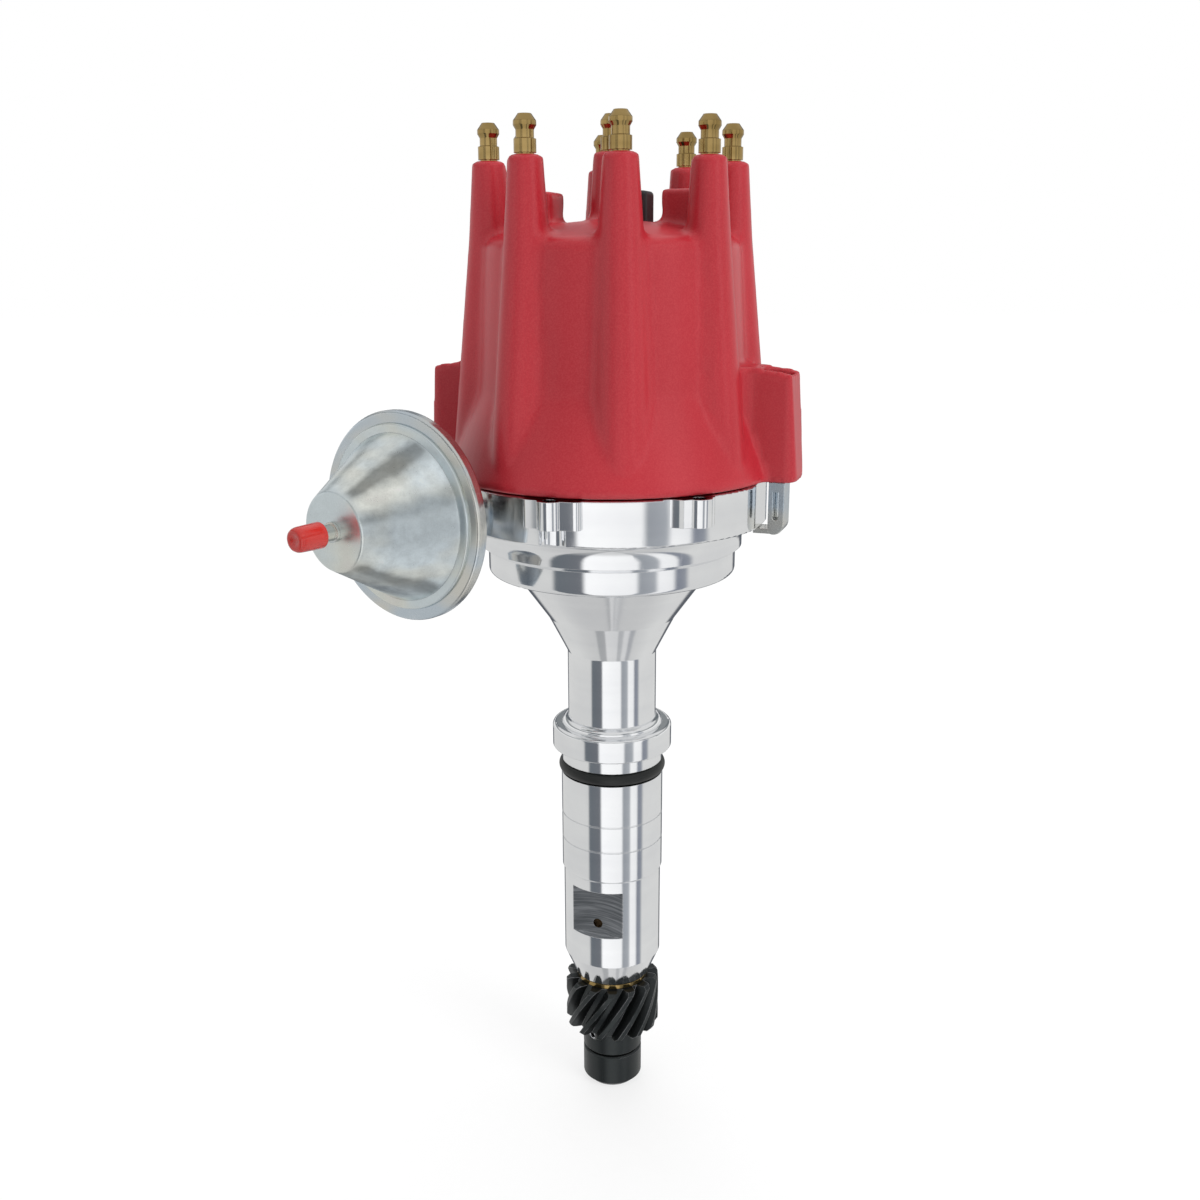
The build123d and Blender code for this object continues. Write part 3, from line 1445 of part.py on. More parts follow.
def main():
    """Build every piece and write its file."""
    os.makedirs("parts", exist_ok=True)
    groove_middle = -o_ring_groove_drop - o_ring_groove_height / 2
    o_ring_major = o_ring_groove_radius + o_ring_minor_radius + plate_clearance
    bearing_bore = shaft_radius + bearing_clearance
    save("housing", build_housing())
    save("housing_o_ring", Pos(0, 0, groove_middle) * Torus(o_ring_major, o_ring_minor_radius))
    save("upper_bushing", ring(bearing_bore, bearing_radius, boss_top_z - bearing_length, boss_top_z))
    save("lower_bushing", ring(bearing_bore, bearing_radius, nose_end_z, nose_end_z + bearing_length))
    save("lead_grommet", build_grommet())
    save("main_shaft", build_shaft())
    save("drive_gear", build_gear())
    save("gear_roll_pin", build_roll_pin())
    save("thrust_washer", ring(bearing_bore, thrust_washer_radius, washer_bottom_z, washer_top_z))
    save(
        "shim_washers",
        ring(bearing_bore, shim_radius, gear_top_z, washer_bottom_z),
        ring(bearing_bore, shim_radius, washer_top_z, washer_top_z + shim_height),
    )
    save("oil_pump_coupling", build_coupling())
    save("advance_cam", build_cam())
    save("advance_base_plate", build_advance_plate())
    save("reluctor", build_reluctor())
    weight = build_weight()
    save("advance_weight_right", weight)
    save("advance_weight_left", turn(weight, 180))
    pin = polar(pivot_radius, pivot_azimuth)
    pivot_pin = disc(pivot_pin_radius, advance_bottom_z, cam_top_z + pivot_pin_rise, pin)
    save("weight_pivot_pins", pivot_pin, turn(pivot_pin, 180))
    spring = build_advance_spring()
    save("advance_springs", spring, turn(spring, 180))
    save("plate_snap_ring", build_snap_ring())
    save("pickup_plate", build_plate())
    save("pickup_coil", build_pickup_coil())
    save("pole_piece", build_pole())
    pole_seat = plate_top_z + bracket_sheet
    pole_grip = plate_height + bracket_sheet
    save("pickup_screws", *[pan_screw(pole_seat, spot, pole_grip) for spot in pickup_spots()])
    save("ignition_module", build_module())
    module_grip = module_height + floor_thickness / 2
    module_seat = floor_z + module_height
    save("module_screws", *[pan_screw(module_seat, spot, module_grip) for spot in module_spots])
    save("rotor_body", build_rotor())
    save("rotor_blade", build_blade())
    save("rotor_contact_spring", build_contact())
    legs = [polar(rotor_leg_offset, side) for side in (0, 180)]
    leg_grip = rotor_disc_height + rotor_leg_height + advance_plate_height
    save("rotor_screws", *[pan_screw(rotor_disc_top_z, spot, leg_grip) for spot in legs])
    rivet = polar(contact_reach, rotor_azimuth)
    rivet_top = blade_top_z + contact_strip
    rivet_body = disc(screw_radius, blade_bottom_z - screw_grip + blade_height, rivet_top, rivet)
    rivet_head = disc(screw_head_radius - contact_strip, rivet_top, rivet_top + contact_strip * 2, rivet)
    save("rotor_blade_rivet", rivet_body + rivet_head)
    save("cap_shell", build_cap())
    save("cap_vent_plug", build_vent())
    plugs = [terminal(terminal_bottom_z, plug_grip_z, tower_top_z, spot) for spot in tower_spots]
    save("plug_terminals", *plugs)
    coil_spot = Vector(0, 0, 0)
    save("coil_terminal", terminal(coil_terminal_bottom_z, coil_grip_z, centre_top_z, coil_spot))
    save("carbon_button", disc(button_radius, button_bottom_z, button_top_z))
    spring_mean = button_radius - button_spring_wire
    spring_span = (button_top_z, coil_terminal_bottom_z)
    save("button_spring", coil(spring_mean, button_spring_wire, button_spring_turns, *spring_span))
    hook = build_hook()
    latch_screw = build_latch_screw()
    latch_spring = build_latch_spring()
    for side, azimuth in (("right", ear_azimuth), ("left", ear_azimuth + 180)):
        save("latch_hook_" + side, turn(hook, azimuth))
        save("latch_screw_" + side, turn(latch_screw, azimuth))
        save("latch_spring_" + side, turn(latch_spring, azimuth))
    save("vacuum_can_front", in_can(build_can_front()))
    save("vacuum_can_back", in_can(build_can_back()))
    save("vacuum_diaphragm", in_can(build_diaphragm()))
    save("diaphragm_cup", in_can(build_cup()))
    save("vacuum_spring", in_can(build_can_spring()))
    save("vacuum_nipple", in_can(build_nipple()))
    save("nipple_cap", in_can(build_nipple_cap()))
    save("vacuum_rod", build_rod())
    save("vacuum_bracket", build_bracket())
    bracket_seat = ledge_z + bracket_sheet
    save("bracket_screws", *[pan_screw(bracket_seat, spot) for spot in bolt_spots])


main()
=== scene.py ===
"""Dresses the jointed ignition distributor: finishes, fine pieces, light and camera."""

import logging
import math
from dataclasses import dataclass, field
from enum import Enum
from typing import Any, Optional, Sequence, Union

import bmesh
import bpy
from mathutils import Matrix, Vector


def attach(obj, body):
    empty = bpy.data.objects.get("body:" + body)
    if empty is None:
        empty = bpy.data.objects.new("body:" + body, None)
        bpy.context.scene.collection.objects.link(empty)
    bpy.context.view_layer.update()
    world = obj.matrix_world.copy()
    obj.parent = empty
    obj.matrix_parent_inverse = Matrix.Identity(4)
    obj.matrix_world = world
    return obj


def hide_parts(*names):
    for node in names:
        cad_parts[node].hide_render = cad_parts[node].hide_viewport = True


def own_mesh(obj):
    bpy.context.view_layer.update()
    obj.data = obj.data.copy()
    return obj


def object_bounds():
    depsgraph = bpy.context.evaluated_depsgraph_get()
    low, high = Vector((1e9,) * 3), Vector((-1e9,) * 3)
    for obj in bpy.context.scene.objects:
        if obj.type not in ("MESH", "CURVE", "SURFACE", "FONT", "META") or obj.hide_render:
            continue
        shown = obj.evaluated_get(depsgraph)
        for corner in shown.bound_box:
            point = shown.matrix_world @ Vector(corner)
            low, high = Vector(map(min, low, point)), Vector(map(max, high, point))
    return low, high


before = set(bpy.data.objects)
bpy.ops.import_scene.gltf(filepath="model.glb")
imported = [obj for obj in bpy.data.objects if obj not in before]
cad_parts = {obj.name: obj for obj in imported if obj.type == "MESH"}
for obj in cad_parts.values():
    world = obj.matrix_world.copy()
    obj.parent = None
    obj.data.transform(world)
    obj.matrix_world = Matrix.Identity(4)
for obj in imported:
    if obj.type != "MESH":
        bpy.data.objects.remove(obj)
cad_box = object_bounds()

LOG = logging.getLogger("distributor")
MM = 0.001
MERGE = 2e-6
IMAGE_PIXELS = 1200.0
SENSOR_MM = 36.0
FULL_TURN = 2 * math.pi
SHARE_OF_TURN = 1 / FULL_TURN
SOFT_SAMPLES = 8
WHITE = (1.0, 1.0, 1.0)

Colour = tuple[float, float, float]
Point = tuple[float, float, float]
Profile = tuple[tuple[float, float], ...]


class Socket:
    """A shader value whose operators add Math nodes."""

    def __init__(self, graph: "Graph", link: Any) -> None:
        """Wraps one output.

        Args:
            graph: the material's node graph.
            link: the output socket.
        """
        self.graph = graph
        self.link = link

    def _math(self, operation: str, *values: Any, clamp: bool = False) -> "Socket":
        """Adds one Math node.

        Args:
            operation: the Math node's operation.
            values: its inputs, as numbers or sockets.
            clamp: whether the result stays between 0 and 1.

        Returns:
            The node's output.
        """
        settings = {"operation": operation, "use_clamp": clamp}
        return self.graph.node("ShaderNodeMath", settings, dict(enumerate(values))).out(0)

    def __add__(self, other: Any) -> "Socket":
        """Sum."""
        return self._math("ADD", self, other)

    __radd__ = __add__

    def __mul__(self, other: Any) -> "Socket":
        """Product."""
        return self._math("MULTIPLY", self, other)

    __rmul__ = __mul__

    def __sub__(self, other: Any) -> "Socket":
        """Difference."""
        return self._math("SUBTRACT", self, other)

    def __rsub__(self, other: Any) -> "Socket":
        """Difference, with this value taken away."""
        return self._math("SUBTRACT", other, self)

    def __pow__(self, other: Any) -> "Socket":
        """Power."""
        return self._math("POWER", self, other)

    def __abs__(self) -> "Socket":
        """Size without sign."""
        return self._math("ABSOLUTE", self)

    def angle(self, other: Any) -> "Socket":
        """Angle in radians of the direction whose parts are this value, sideways, and the other, ahead."""
        return self._math("ARCTAN2", self, other)

    def greater(self, other: Any) -> "Socket":
        """1 where this value is the larger, else 0."""
        return self._math("GREATER_THAN", self, other)

    def clamped(self) -> "Socket":
        """This value held between 0 and 1."""
        return self._math("ADD", self, 0.0, clamp=True)

    def between(self, low: float, high: float) -> "Socket":
        """Rises smoothly from 0 at low to 1 at high.

        Args:
            low: the value that gives 0.
            high: the value that gives 1.

        Returns:
            The stepped value.
        """
        settings = {"interpolation_type": "SMOOTHSTEP"}
        values = {"Value": self, "From Min": low, "From Max": high, "To Min": 0.0, "To Max": 1.0}
        return self.graph.node("ShaderNodeMapRange", settings, values).out(0)


class Node:
    """One shader node with its outputs by name or number."""

    def __init__(self, graph: "Graph", raw: Any) -> None:
        """Wraps a node.

        Args:
            graph: the material's node graph.
            raw: the Blender node.
        """
        self.graph = graph
        self.raw = raw

    def out(self, key: Union[int, str] = 0) -> Socket:
        """One output, ready for sums."""
        return Socket(self.graph, self.raw.outputs[key])


class Graph:
    """The node tree of a material or of the world."""

    def __init__(self, owner: Any) -> None:
        """Empties the owner's node tree.

        Args:
            owner: the material or world.
        """
        self.owner = owner
        owner.use_nodes = True
        self.tree = owner.node_tree
        self.tree.nodes.clear()

    @classmethod
    def of_material(cls, name: str) -> "Graph":
        """The empty graph of a new material."""
        return cls(bpy.data.materials.new(name))

    def node(self, kind: str, settings: Optional[dict] = None, values: Optional[dict] = None) -> Node:
        """Adds a node: its settings first, then the values or links of its sockets.

        Args:
            kind: the node's type.
            settings: attributes of the node.
            values: socket names or numbers, with numbers, colours or sockets.

        Returns:
            The new node.
        """
        raw = self.tree.nodes.new(kind)
        for key, value in (settings or {}).items():
            if key == "stops":
                self._stops(raw.color_ramp, value)
            else:
                setattr(raw, key, value)
        for key, value in (values or {}).items():
            if isinstance(value, Socket):
                self.tree.links.new(value.link, raw.inputs[key])
            elif isinstance(value, tuple) and len(value) == 3 and raw.inputs[key].type == "RGBA":
                raw.inputs[key].default_value = (*value, 1.0)
            else:
                raw.inputs[key].default_value = value
        return Node(self, raw)

    @staticmethod
    def _stops(ramp: Any, stops: Sequence[tuple[float, Colour]]) -> None:
        """Sets a colour ramp's stops."""
        while len(ramp.elements) < len(stops):
            ramp.elements.new(0.5)
        for element, (place, colour) in zip(ramp.elements, stops):
            element.position = place
            element.color = (*colour, 1.0)

    def place(self, scale: Point = (1.0, 1.0, 1.0), centre: Point = (0.0, 0.0, 0.0)) -> Socket:
        """Object coordinates, moved to a centre and scaled.

        Args:
            scale: factor along each axis.
            centre: the point that becomes the origin.

        Returns:
            The coordinates.
        """
        base = self.node("ShaderNodeTexCoord").out("Object")
        shift = tuple(-c * s for c, s in zip(centre, scale))
        return self.node("ShaderNodeMapping", {}, {"Vector": base, "Location": shift, "Scale": scale}).out(0)

    def noise(self, where: Socket, scale: float, detail: float = 2.0, rough: float = 0.5) -> Socket:
        """Cloudy noise about 0.5.

        Args:
            where: the coordinates.
            scale: cells per unit.
            detail: octaves.
            rough: weight of the finer octaves.

        Returns:
            The noise value.
        """
        values = {"Vector": where, "Scale": scale, "Detail": detail, "Roughness": rough}
        return self.node("ShaderNodeTexNoise", {}, values).out(0)

    def mix(self, mask: Any, low: Any, high: Any) -> Socket:
        """Colour between two colours.

        Args:
            mask: 0 gives low and 1 gives high.
            low: a colour.
            high: a colour.

        Returns:
            The mixed colour.
        """
        return self.node("ShaderNodeMix", {"data_type": "RGBA"}, {0: mask, 6: low, 7: high}).out(2)

    def axes(self, where: Socket) -> tuple[Socket, Socket, Socket]:
        """The three parts of a vector."""
        split = self.node("ShaderNodeSeparateXYZ", {}, {0: where})
        return split.out(0), split.out(1), split.out(2)

    def vector(self, x: Any, y: Any, z: Any) -> Socket:
        """A vector of three parts."""
        return self.node("ShaderNodeCombineXYZ", {}, {0: x, 1: y, 2: z}).out(0)

    def rounded(self, radius: float, samples: int = 6) -> Socket:
        """A normal that is rounded over sharp edges."""
        return self.node("ShaderNodeBevel", {"samples": samples}, {"Radius": radius}).out(0)

    def bend(self, soft: Socket) -> Socket:
        """How far a rounded normal turns from the true one: 0 on flat faces and more along edges."""
        sharp = self.node("ShaderNodeNewGeometry").out("Normal")
        settings = {"operation": "DOT_PRODUCT"}
        return 1.0 - self.node("ShaderNodeVectorMath", settings, {0: soft, 1: sharp}).out("Value")

    def bump(self, height: Socket, depth: float, strength: float, normal: Socket) -> Socket:
        """A normal from a height.

        Args:
            height: the height from 0 to 1.
            depth: metres between 0 and 1.
            strength: share of the effect.
            normal: the normal that it starts from.

        Returns:
            The normal.
        """
        values = {"Height": height, "Distance": depth, "Strength": strength, "Normal": normal}
        return self.node("ShaderNodeBump", {}, values).out(0)

    def surface(self, **values: Any) -> Any:
        """Ends the graph in one Principled shader.

        Args:
            values: its sockets, with underscores for blanks.

        Returns:
            The finished material.
        """
        named = {key.replace("_", " "): value for key, value in values.items()}
        shader = self.node("ShaderNodeBsdfPrincipled", {}, named)
        self.node("ShaderNodeOutputMaterial", {}, {"Surface": shader.out(0)})
        return self.owner


@dataclass(frozen=True)
class TurnedMetal:
    """Metal turned on a lathe: fine rings round Z, a little dullness and few marks.

    Fields give its colours, its dullness, the rings' depth in metres, the cells per metre of its fine and
    broad rings, clouds and marks, and the radius that rounds its edges.
    """

    name: str
    colour: Colour
    shade: Colour
    dull: float = 0.16
    ring_depth: float = 0.0000144
    ring_cells: float = 2600.0
    broad_cells: float = 156.0
    cloud_cells: float = 60.0
    mark_cells: Point = (900.0, 900.0, 120.0)
    edge: float = 0.0003

    def material(self) -> Any:
        """Builds the material."""
        g = Graph.of_material(self.name)
        where = g.place()
        x, y, z = g.axes(where)
        radius = (x * x + y * y) ** 0.5
        rings_at = g.vector(0.0, radius * 0.7, z)
        rings = g.noise(rings_at, self.ring_cells, 3.0, 0.7)
        broad = g.noise(rings_at, self.broad_cells, 2.0, 0.6)
        cloud = g.noise(where, self.cloud_cells, 3.0, 0.6)
        marks = g.noise(g.place(self.mark_cells), 1.0, 2.0, 0.5).between(0.66, 0.74)
        tone = g.mix((cloud * 0.5 + broad * 0.5).between(0.3, 0.7), self.shade, self.colour)
        rough = (rings - 0.5) * 0.05 + (broad - 0.5) * 0.04 + marks * 0.06 + self.dull
        tone, rough = self.marked(g, where, tone, rough)
        normal = g.bump(rings, self.ring_depth, 0.3, g.rounded(self.edge))
        return g.surface(Base_Color=tone, Metallic=1.0, Roughness=rough, Normal=normal)

    def marked(self, g: Graph, where: Socket, tone: Socket, rough: Socket) -> tuple[Socket, Socket]:
        """Colour and roughness with the marks of later work, of which plain turned metal has none."""
        return tone, rough


@dataclass(frozen=True)
class MilledShank(TurnedMetal):
    """Turned metal with one milled flat, duller and darker, with the cutter's curved marks.

    Fields give the flat's azimuth in degrees, its distance from the axis, its ends along Z and the band in
    which it fades out, in metres, then how far under the flat the cutter's arcs have their middle, the arcs'
    cells per metre, and the flat's two colours.
    """

    azimuth: float = -21.0
    reach: float = 0.01333
    low: float = 0.0
    high: float = 0.0
    band: tuple[float, float] = (0.00008, 0.0002)
    arc_drop: float = 0.02
    arc_cells: tuple[float, float] = (1500.0, 60.0)
    cut_colour: Colour = (0.20, 0.21, 0.22)
    cut_light: Colour = (0.46, 0.47, 0.49)

    def marked(self, g: Graph, where: Socket, tone: Socket, rough: Socket) -> tuple[Socket, Socket]:
        """Colour and roughness with the milled flat.

        Args:
            g: the material's graph.
            where: object coordinates.
            tone: the turned colour.
            rough: the turned roughness.

        Returns:
            The new colour and roughness.
        """
        x, y, z = g.axes(where)
        turn = math.radians(self.azimuth)
        out = x * math.sin(turn) - y * math.cos(turn)
        side = x * math.cos(turn) + y * math.sin(turn)
        in_span = z.greater(self.low) * (1.0 - z.greater(self.high))
        mask = (1.0 - abs(out - self.reach).between(*self.band)) * in_span
        sweep = (side * side + (z - self.low + self.arc_drop) ** 2) ** 0.5
        round_arc, along_arc = self.arc_cells
        cutter = g.noise(g.vector(sweep * round_arc, side * along_arc, 0.0), 1.0, 3.0, 0.6)
        milled = g.mix(cutter.between(0.35, 0.75), self.cut_colour, self.cut_light)
        return g.mix(mask, tone, milled), rough + mask * (cutter * 0.2 + 0.2)


@dataclass(frozen=True)
class PlatedSteel:
    """Bright zinc plate on pressed steel: bluish, faintly blotched, with soft press marks.

    Fields give its colour and the tint that drifts over it, its dullness, the radius that rounds its edges,
    and the cells per metre of blotches, grain and tint.
    """

    name: str
    colour: Colour
    tint: Colour
    dull: float = 0.24
    edge: float = 0.00035
    blotch_cells: float = 90.0
    grain_cells: float = 2600.0
    hue_cells: Point = (40.0, 40.0, 90.0)

    def material(self) -> Any:
        """Builds the material."""
        g = Graph.of_material(self.name)
        where = g.place()
        blotch = g.noise(where, self.blotch_cells, 4.0, 0.6)
        grain = g.noise(where, self.grain_cells, 2.0, 0.6)
        hue = g.noise(g.place(self.hue_cells), 1.0, 2.0, 0.5)
        tone = g.mix(hue.between(0.35, 0.65), self.colour, self.tint)
        tone = g.mix(blotch.between(0.55, 0.8) * 0.25, tone, (0.86, 0.88, 0.9))
        rough = (blotch - 0.5) * 0.14 + (grain - 0.5) * 0.08 + self.dull
        normal = g.bump(grain * 0.3 + blotch, 0.000012, 0.5, g.rounded(self.edge))
        return g.surface(Base_Color=tone, Metallic=1.0, Roughness=rough, Normal=normal)


@dataclass(frozen=True)
class DrawnCan(PlatedSteel):
    """Zinc plate on a drawn can: bands of painted reflection, dark and bright, run along the cone from its
    face to its rim, and painted shade darkens its edges and grooves.

    Fields give the can's middle in metres and the azimuth of its axis in degrees, the rings in which the cone
    begins and ends, as radii in metres, the sway of the painted reflection bands in radians, and the bands'
    levels by angle round the axis in degrees.
    """

    blotch_cells: float = 260.0
    hue_cells: Point = (45.0, 45.0, 80.0)
    middle: Point = (-0.0600046, -0.0299983, 0.0798)
    axis_azimuth: float = -36.3
    cone_start: tuple[float, float] = (0.0108, 0.0122)
    cone_end: tuple[float, float] = (0.0232, 0.0242)
    sway_cells: float = 70.0
    sway: float = 0.35
    plain_level: Colour = (0.95, 0.95, 0.95)
    # colour of the painted shade along the can's edges and grooves
    painted_edge_shade: Colour = (0.16, 0.19, 0.21)
    # painted reflection: dark and bright levels by angle round the can's axis, standing in for the room
    # mirrored in the cone
    painted_reflection_bands: Profile = (
        (-180, 0.95), (-66, 0.95), (-57, 0.55), (-50, 0.48), (-43, 0.98), (-35, 1.1), (-24, 0.90),
        (-10, 0.76), (14, 0.74), (27, 0.80), (34, 1.05), (44, 1.1), (51, 0.86), (57, 0.42), (66, 0.40),
        (74, 0.92), (90, 1.0), (180, 0.95),
    )

    def material(self) -> Any:
        """Builds the material."""
        g = Graph.of_material(self.name)
        where = g.place(centre=self.middle)
        x, y, z = g.axes(where)
        turn = math.radians(self.axis_azimuth)
        side = x * math.cos(turn) + y * math.sin(turn)
        radius = (side * side + z * z) ** 0.5
        sway = g.noise(where, self.sway_cells, 3.0, 0.6) - 0.5
        round_axis = (z.angle(side) + sway * self.sway) * SHARE_OF_TURN + 0.5
        # painted reflection: the fixed levels by angle round the axis are laid on the cone only
        stops = tuple((angle / 360 + 0.5, (level, level, level)) for angle, level in self.painted_reflection_bands)
        painted_reflection = g.node("ShaderNodeValToRGB", {"stops": stops}, {0: round_axis}).out(0)
        cone = radius.between(*self.cone_start) * (1.0 - radius.between(*self.cone_end))
        blotch = g.noise(where, self.blotch_cells, 3.0, 0.65)
        grain = g.noise(where, self.grain_cells, 2.0, 0.6)
        hue = g.noise(g.place(self.hue_cells), 1.0, 2.0, 0.5)
        tone = g.mix(hue.between(0.42, 0.68), self.colour, self.tint)
        tone = g.mix(hue.between(0.62, 0.74) * 0.3, tone, (0.82, 0.76, 0.74))
        mottle = (blotch.between(0.3, 0.7) * (cone * 0.13 + 0.07) + 0.9) * (grain * 0.2 + 0.9)
        level = g.mix(cone, self.plain_level, painted_reflection)
        shade = g.node("ShaderNodeVectorMath", {"operation": "MULTIPLY"}, {0: tone, 1: level}).out(0)
        tone = g.node("ShaderNodeVectorMath", {"operation": "SCALE"}, {0: shade, "Scale": mottle}).out(0)
        soft = g.rounded(self.edge * 2, SOFT_SAMPLES)
        # painted shade: the rounded normal's bend darkens the can along its edges and grooves
        tone = g.mix(g.bend(soft).between(0.01, 0.2) * 0.7, tone, self.painted_edge_shade)
        rough = (blotch - 0.5) * 0.2 + (grain - 0.5) * 0.1 + self.dull
        normal = g.bump(grain * 0.3 + blotch, 0.00003, 0.5, soft)
        return g.surface(Base_Color=tone, Metallic=1.0, Roughness=rough, Normal=normal)


@dataclass(frozen=True)
class BlackOxide:
    """Oiled black oxide on cut steel: near black, with cutter marks and paler worn edges.

    Fields give its colour, the worn metal's and the paler clouds', its dullness, the radius that rounds its
    edges, and the cells per metre of grain, clouds and cutter marks.
    """

    name: str
    colour: Colour
    bare: Colour
    pale: Colour = (0.045, 0.047, 0.05)
    dull: float = 0.36
    edge: float = 0.0004
    grain_cells: float = 1500.0
    cloud_cells: float = 160.0
    cut_cells: Point = (500.0, 500.0, 5200.0)

    def material(self) -> Any:
        """Builds the material."""
        g = Graph.of_material(self.name)
        where = g.place()
        grain = g.noise(where, self.grain_cells, 3.0, 0.6)
        cloud = g.noise(where, self.cloud_cells, 3.0, 0.6)
        cut = g.noise(g.place(self.cut_cells), 1.0, 2.0, 0.5)
        soft = g.rounded(self.edge, SOFT_SAMPLES)
        worn = g.bend(soft).between(0.02, 0.16) * cloud.between(0.35, 0.6)
        tone = g.mix(worn * 0.8, g.mix(cloud, self.colour, self.pale), self.bare)
        rough = (grain - 0.5) * 0.2 + (cut - 0.5) * 0.12 + self.dull - worn * 0.08
        normal = g.bump(cut * 0.6 + grain * 0.4, 0.00001, 0.6, soft)
        return g.surface(Base_Color=tone, Metallic=0.85, Roughness=rough, Normal=normal)


@dataclass(frozen=True)
class Moulding:
    """Moulded plastic: even colour with faint flow, a light skin texture and softened edges.

    Fields give its colour, the deeper colour that drifts through it, its dullness, the skin's depth and the
    edges' radius in metres, its gloss coat, the colour of its specks, and the cells per metre of flow, skin
    and specks.
    """

    name: str
    colour: Colour
    deep: Colour
    dull: float = 0.34
    skin: float = 0.00003
    edge: float = 0.0006
    coat: float = 0.0
    speck: Colour = (0.0, 0.0, 0.0)
    flow_cells: Point = (22.0, 22.0, 9.0)
    skin_cells: float = 420.0
    fine_cells: float = 2400.0

    def material(self) -> Any:
        """Builds the material."""
        g = Graph.of_material(self.name)
        where = g.place()
        flow = g.noise(g.place(self.flow_cells), 1.0, 3.0, 0.55)
        skin = g.noise(where, self.skin_cells, 3.0, 0.55)
        fine = g.noise(where, self.fine_cells, 2.0, 0.6)
        tone = g.mix(flow.between(0.3, 0.7), self.deep, self.colour)
        tone = g.mix(fine.between(0.35, 0.7) * 0.16, tone, self.speck)
        rough = (flow - 0.5) * 0.12 + (fine - 0.5) * 0.1 + self.dull
        normal = g.bump(skin * 0.7 + fine * 0.3, self.skin, 0.5, g.rounded(self.edge, SOFT_SAMPLES))
        return g.surface(
            Base_Color=tone, Roughness=rough, Normal=normal, Coat_Weight=self.coat, Coat_Roughness=0.12,
        )


@dataclass(frozen=True)
class Rubber:
    """Moulded rubber: dark, matt, with a bloom and fine pores.

    Fields give its colour and its bloom's, its dullness, the radius that rounds its edges, and the cells per
    metre of bloom and pores.
    """

    name: str
    colour: Colour
    bloom: Colour
    dull: float = 0.55
    edge: float = 0.0004
    bloom_cells: float = 120.0
    pore_cells: float = 3000.0

    def material(self) -> Any:
        """Builds the material."""
        g = Graph.of_material(self.name)
        where = g.place()
        bloom = g.noise(where, self.bloom_cells, 4.0, 0.6)
        pores = g.noise(where, self.pore_cells, 2.0, 0.5)
        tone = g.mix(bloom.between(0.45, 0.8) * 0.5, self.colour, self.bloom)
        rough = (bloom - 0.5) * 0.15 + (pores - 0.5) * 0.1 + self.dull
        normal = g.bump(pores, 0.00001, 0.5, g.rounded(self.edge))
        return g.surface(Base_Color=tone, Roughness=rough, Normal=normal)


class Finish(Enum):
    """Every finish on the object."""

    ALUMINIUM = MilledShank(
        "polished_aluminium", (0.90, 0.91, 0.92), (0.82, 0.83, 0.85), 0.09, low=-0.06160, high=-0.04560,
    )
    GROUND_STEEL = TurnedMetal("ground_steel", (0.60, 0.61, 0.63), (0.50, 0.51, 0.54), 0.24)
    BRASS = TurnedMetal("turned_brass", (0.48, 0.34, 0.14), (0.27, 0.18, 0.06), 0.12, edge=0.0002)
    BRONZE = TurnedMetal("sintered_bronze", (0.13, 0.085, 0.045), (0.09, 0.055, 0.03), 0.6)
    ZINC = PlatedSteel("bright_zinc", (0.56, 0.63, 0.69), (0.68, 0.67, 0.62))
    CAN = DrawnCan("drawn_can_zinc", (0.76, 0.84, 0.87), (0.84, 0.86, 0.80), 0.32)
    OXIDE = BlackOxide("black_oxide", (0.034, 0.041, 0.040), (0.34, 0.34, 0.35))
    RED = Moulding("red_moulding", (0.42, 0.016, 0.028), (0.37, 0.012, 0.022), 0.36, speck=(0.62, 0.10, 0.10))
    RED_VINYL = Moulding(
        "red_vinyl", (0.50, 0.018, 0.012), (0.36, 0.010, 0.008), 0.2, skin=0.00003, edge=0.0002, coat=0.5,
        speck=(0.6, 0.05, 0.03),
    )
    BLACK = Moulding("black_moulding", (0.02, 0.02, 0.022), (0.014, 0.014, 0.016), 0.42)
    ROTOR = Moulding("rotor_moulding", (0.035, 0.03, 0.03), (0.022, 0.02, 0.02), 0.4)
    MODULE = Moulding("module_moulding", (0.03, 0.03, 0.035), (0.02, 0.02, 0.024), 0.5)
    CARBON = Moulding("pressed_carbon", (0.02, 0.02, 0.02), (0.012, 0.012, 0.012), 0.6)
    WINDING = Moulding("enamelled_winding", (0.30, 0.075, 0.02), (0.2, 0.045, 0.012), 0.3)
    RUBBER = Rubber("black_rubber", (0.005, 0.006, 0.0055), (0.014, 0.017, 0.016), 0.45)


class Dresser:
    """Keeps one material of each finish and puts finishes on nodes and pieces."""

    def __init__(self) -> None:
        """Starts with no material made."""
        self.made: dict[Finish, Any] = {}

    def material(self, finish: Finish) -> Any:
        """The finish's material, made at its first use."""
        if finish not in self.made:
            self.made[finish] = finish.value.material()
        return self.made[finish]

    def paint(self, thing: Any, finish: Finish) -> None:
        """Gives an object one finish on all its faces."""
        if not thing.material_slots:
            thing.data.materials.append(None)
        for slot in thing.material_slots:
            slot.material = self.material(finish)

    def nodes(self, finish: Finish, *names: str) -> None:
        """Gives CAD nodes a finish.

        Args:
            finish: the finish.
            names: the nodes.
        """
        for name in names:
            self.paint(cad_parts[name], finish)
            LOG.info("dressed %s", name)


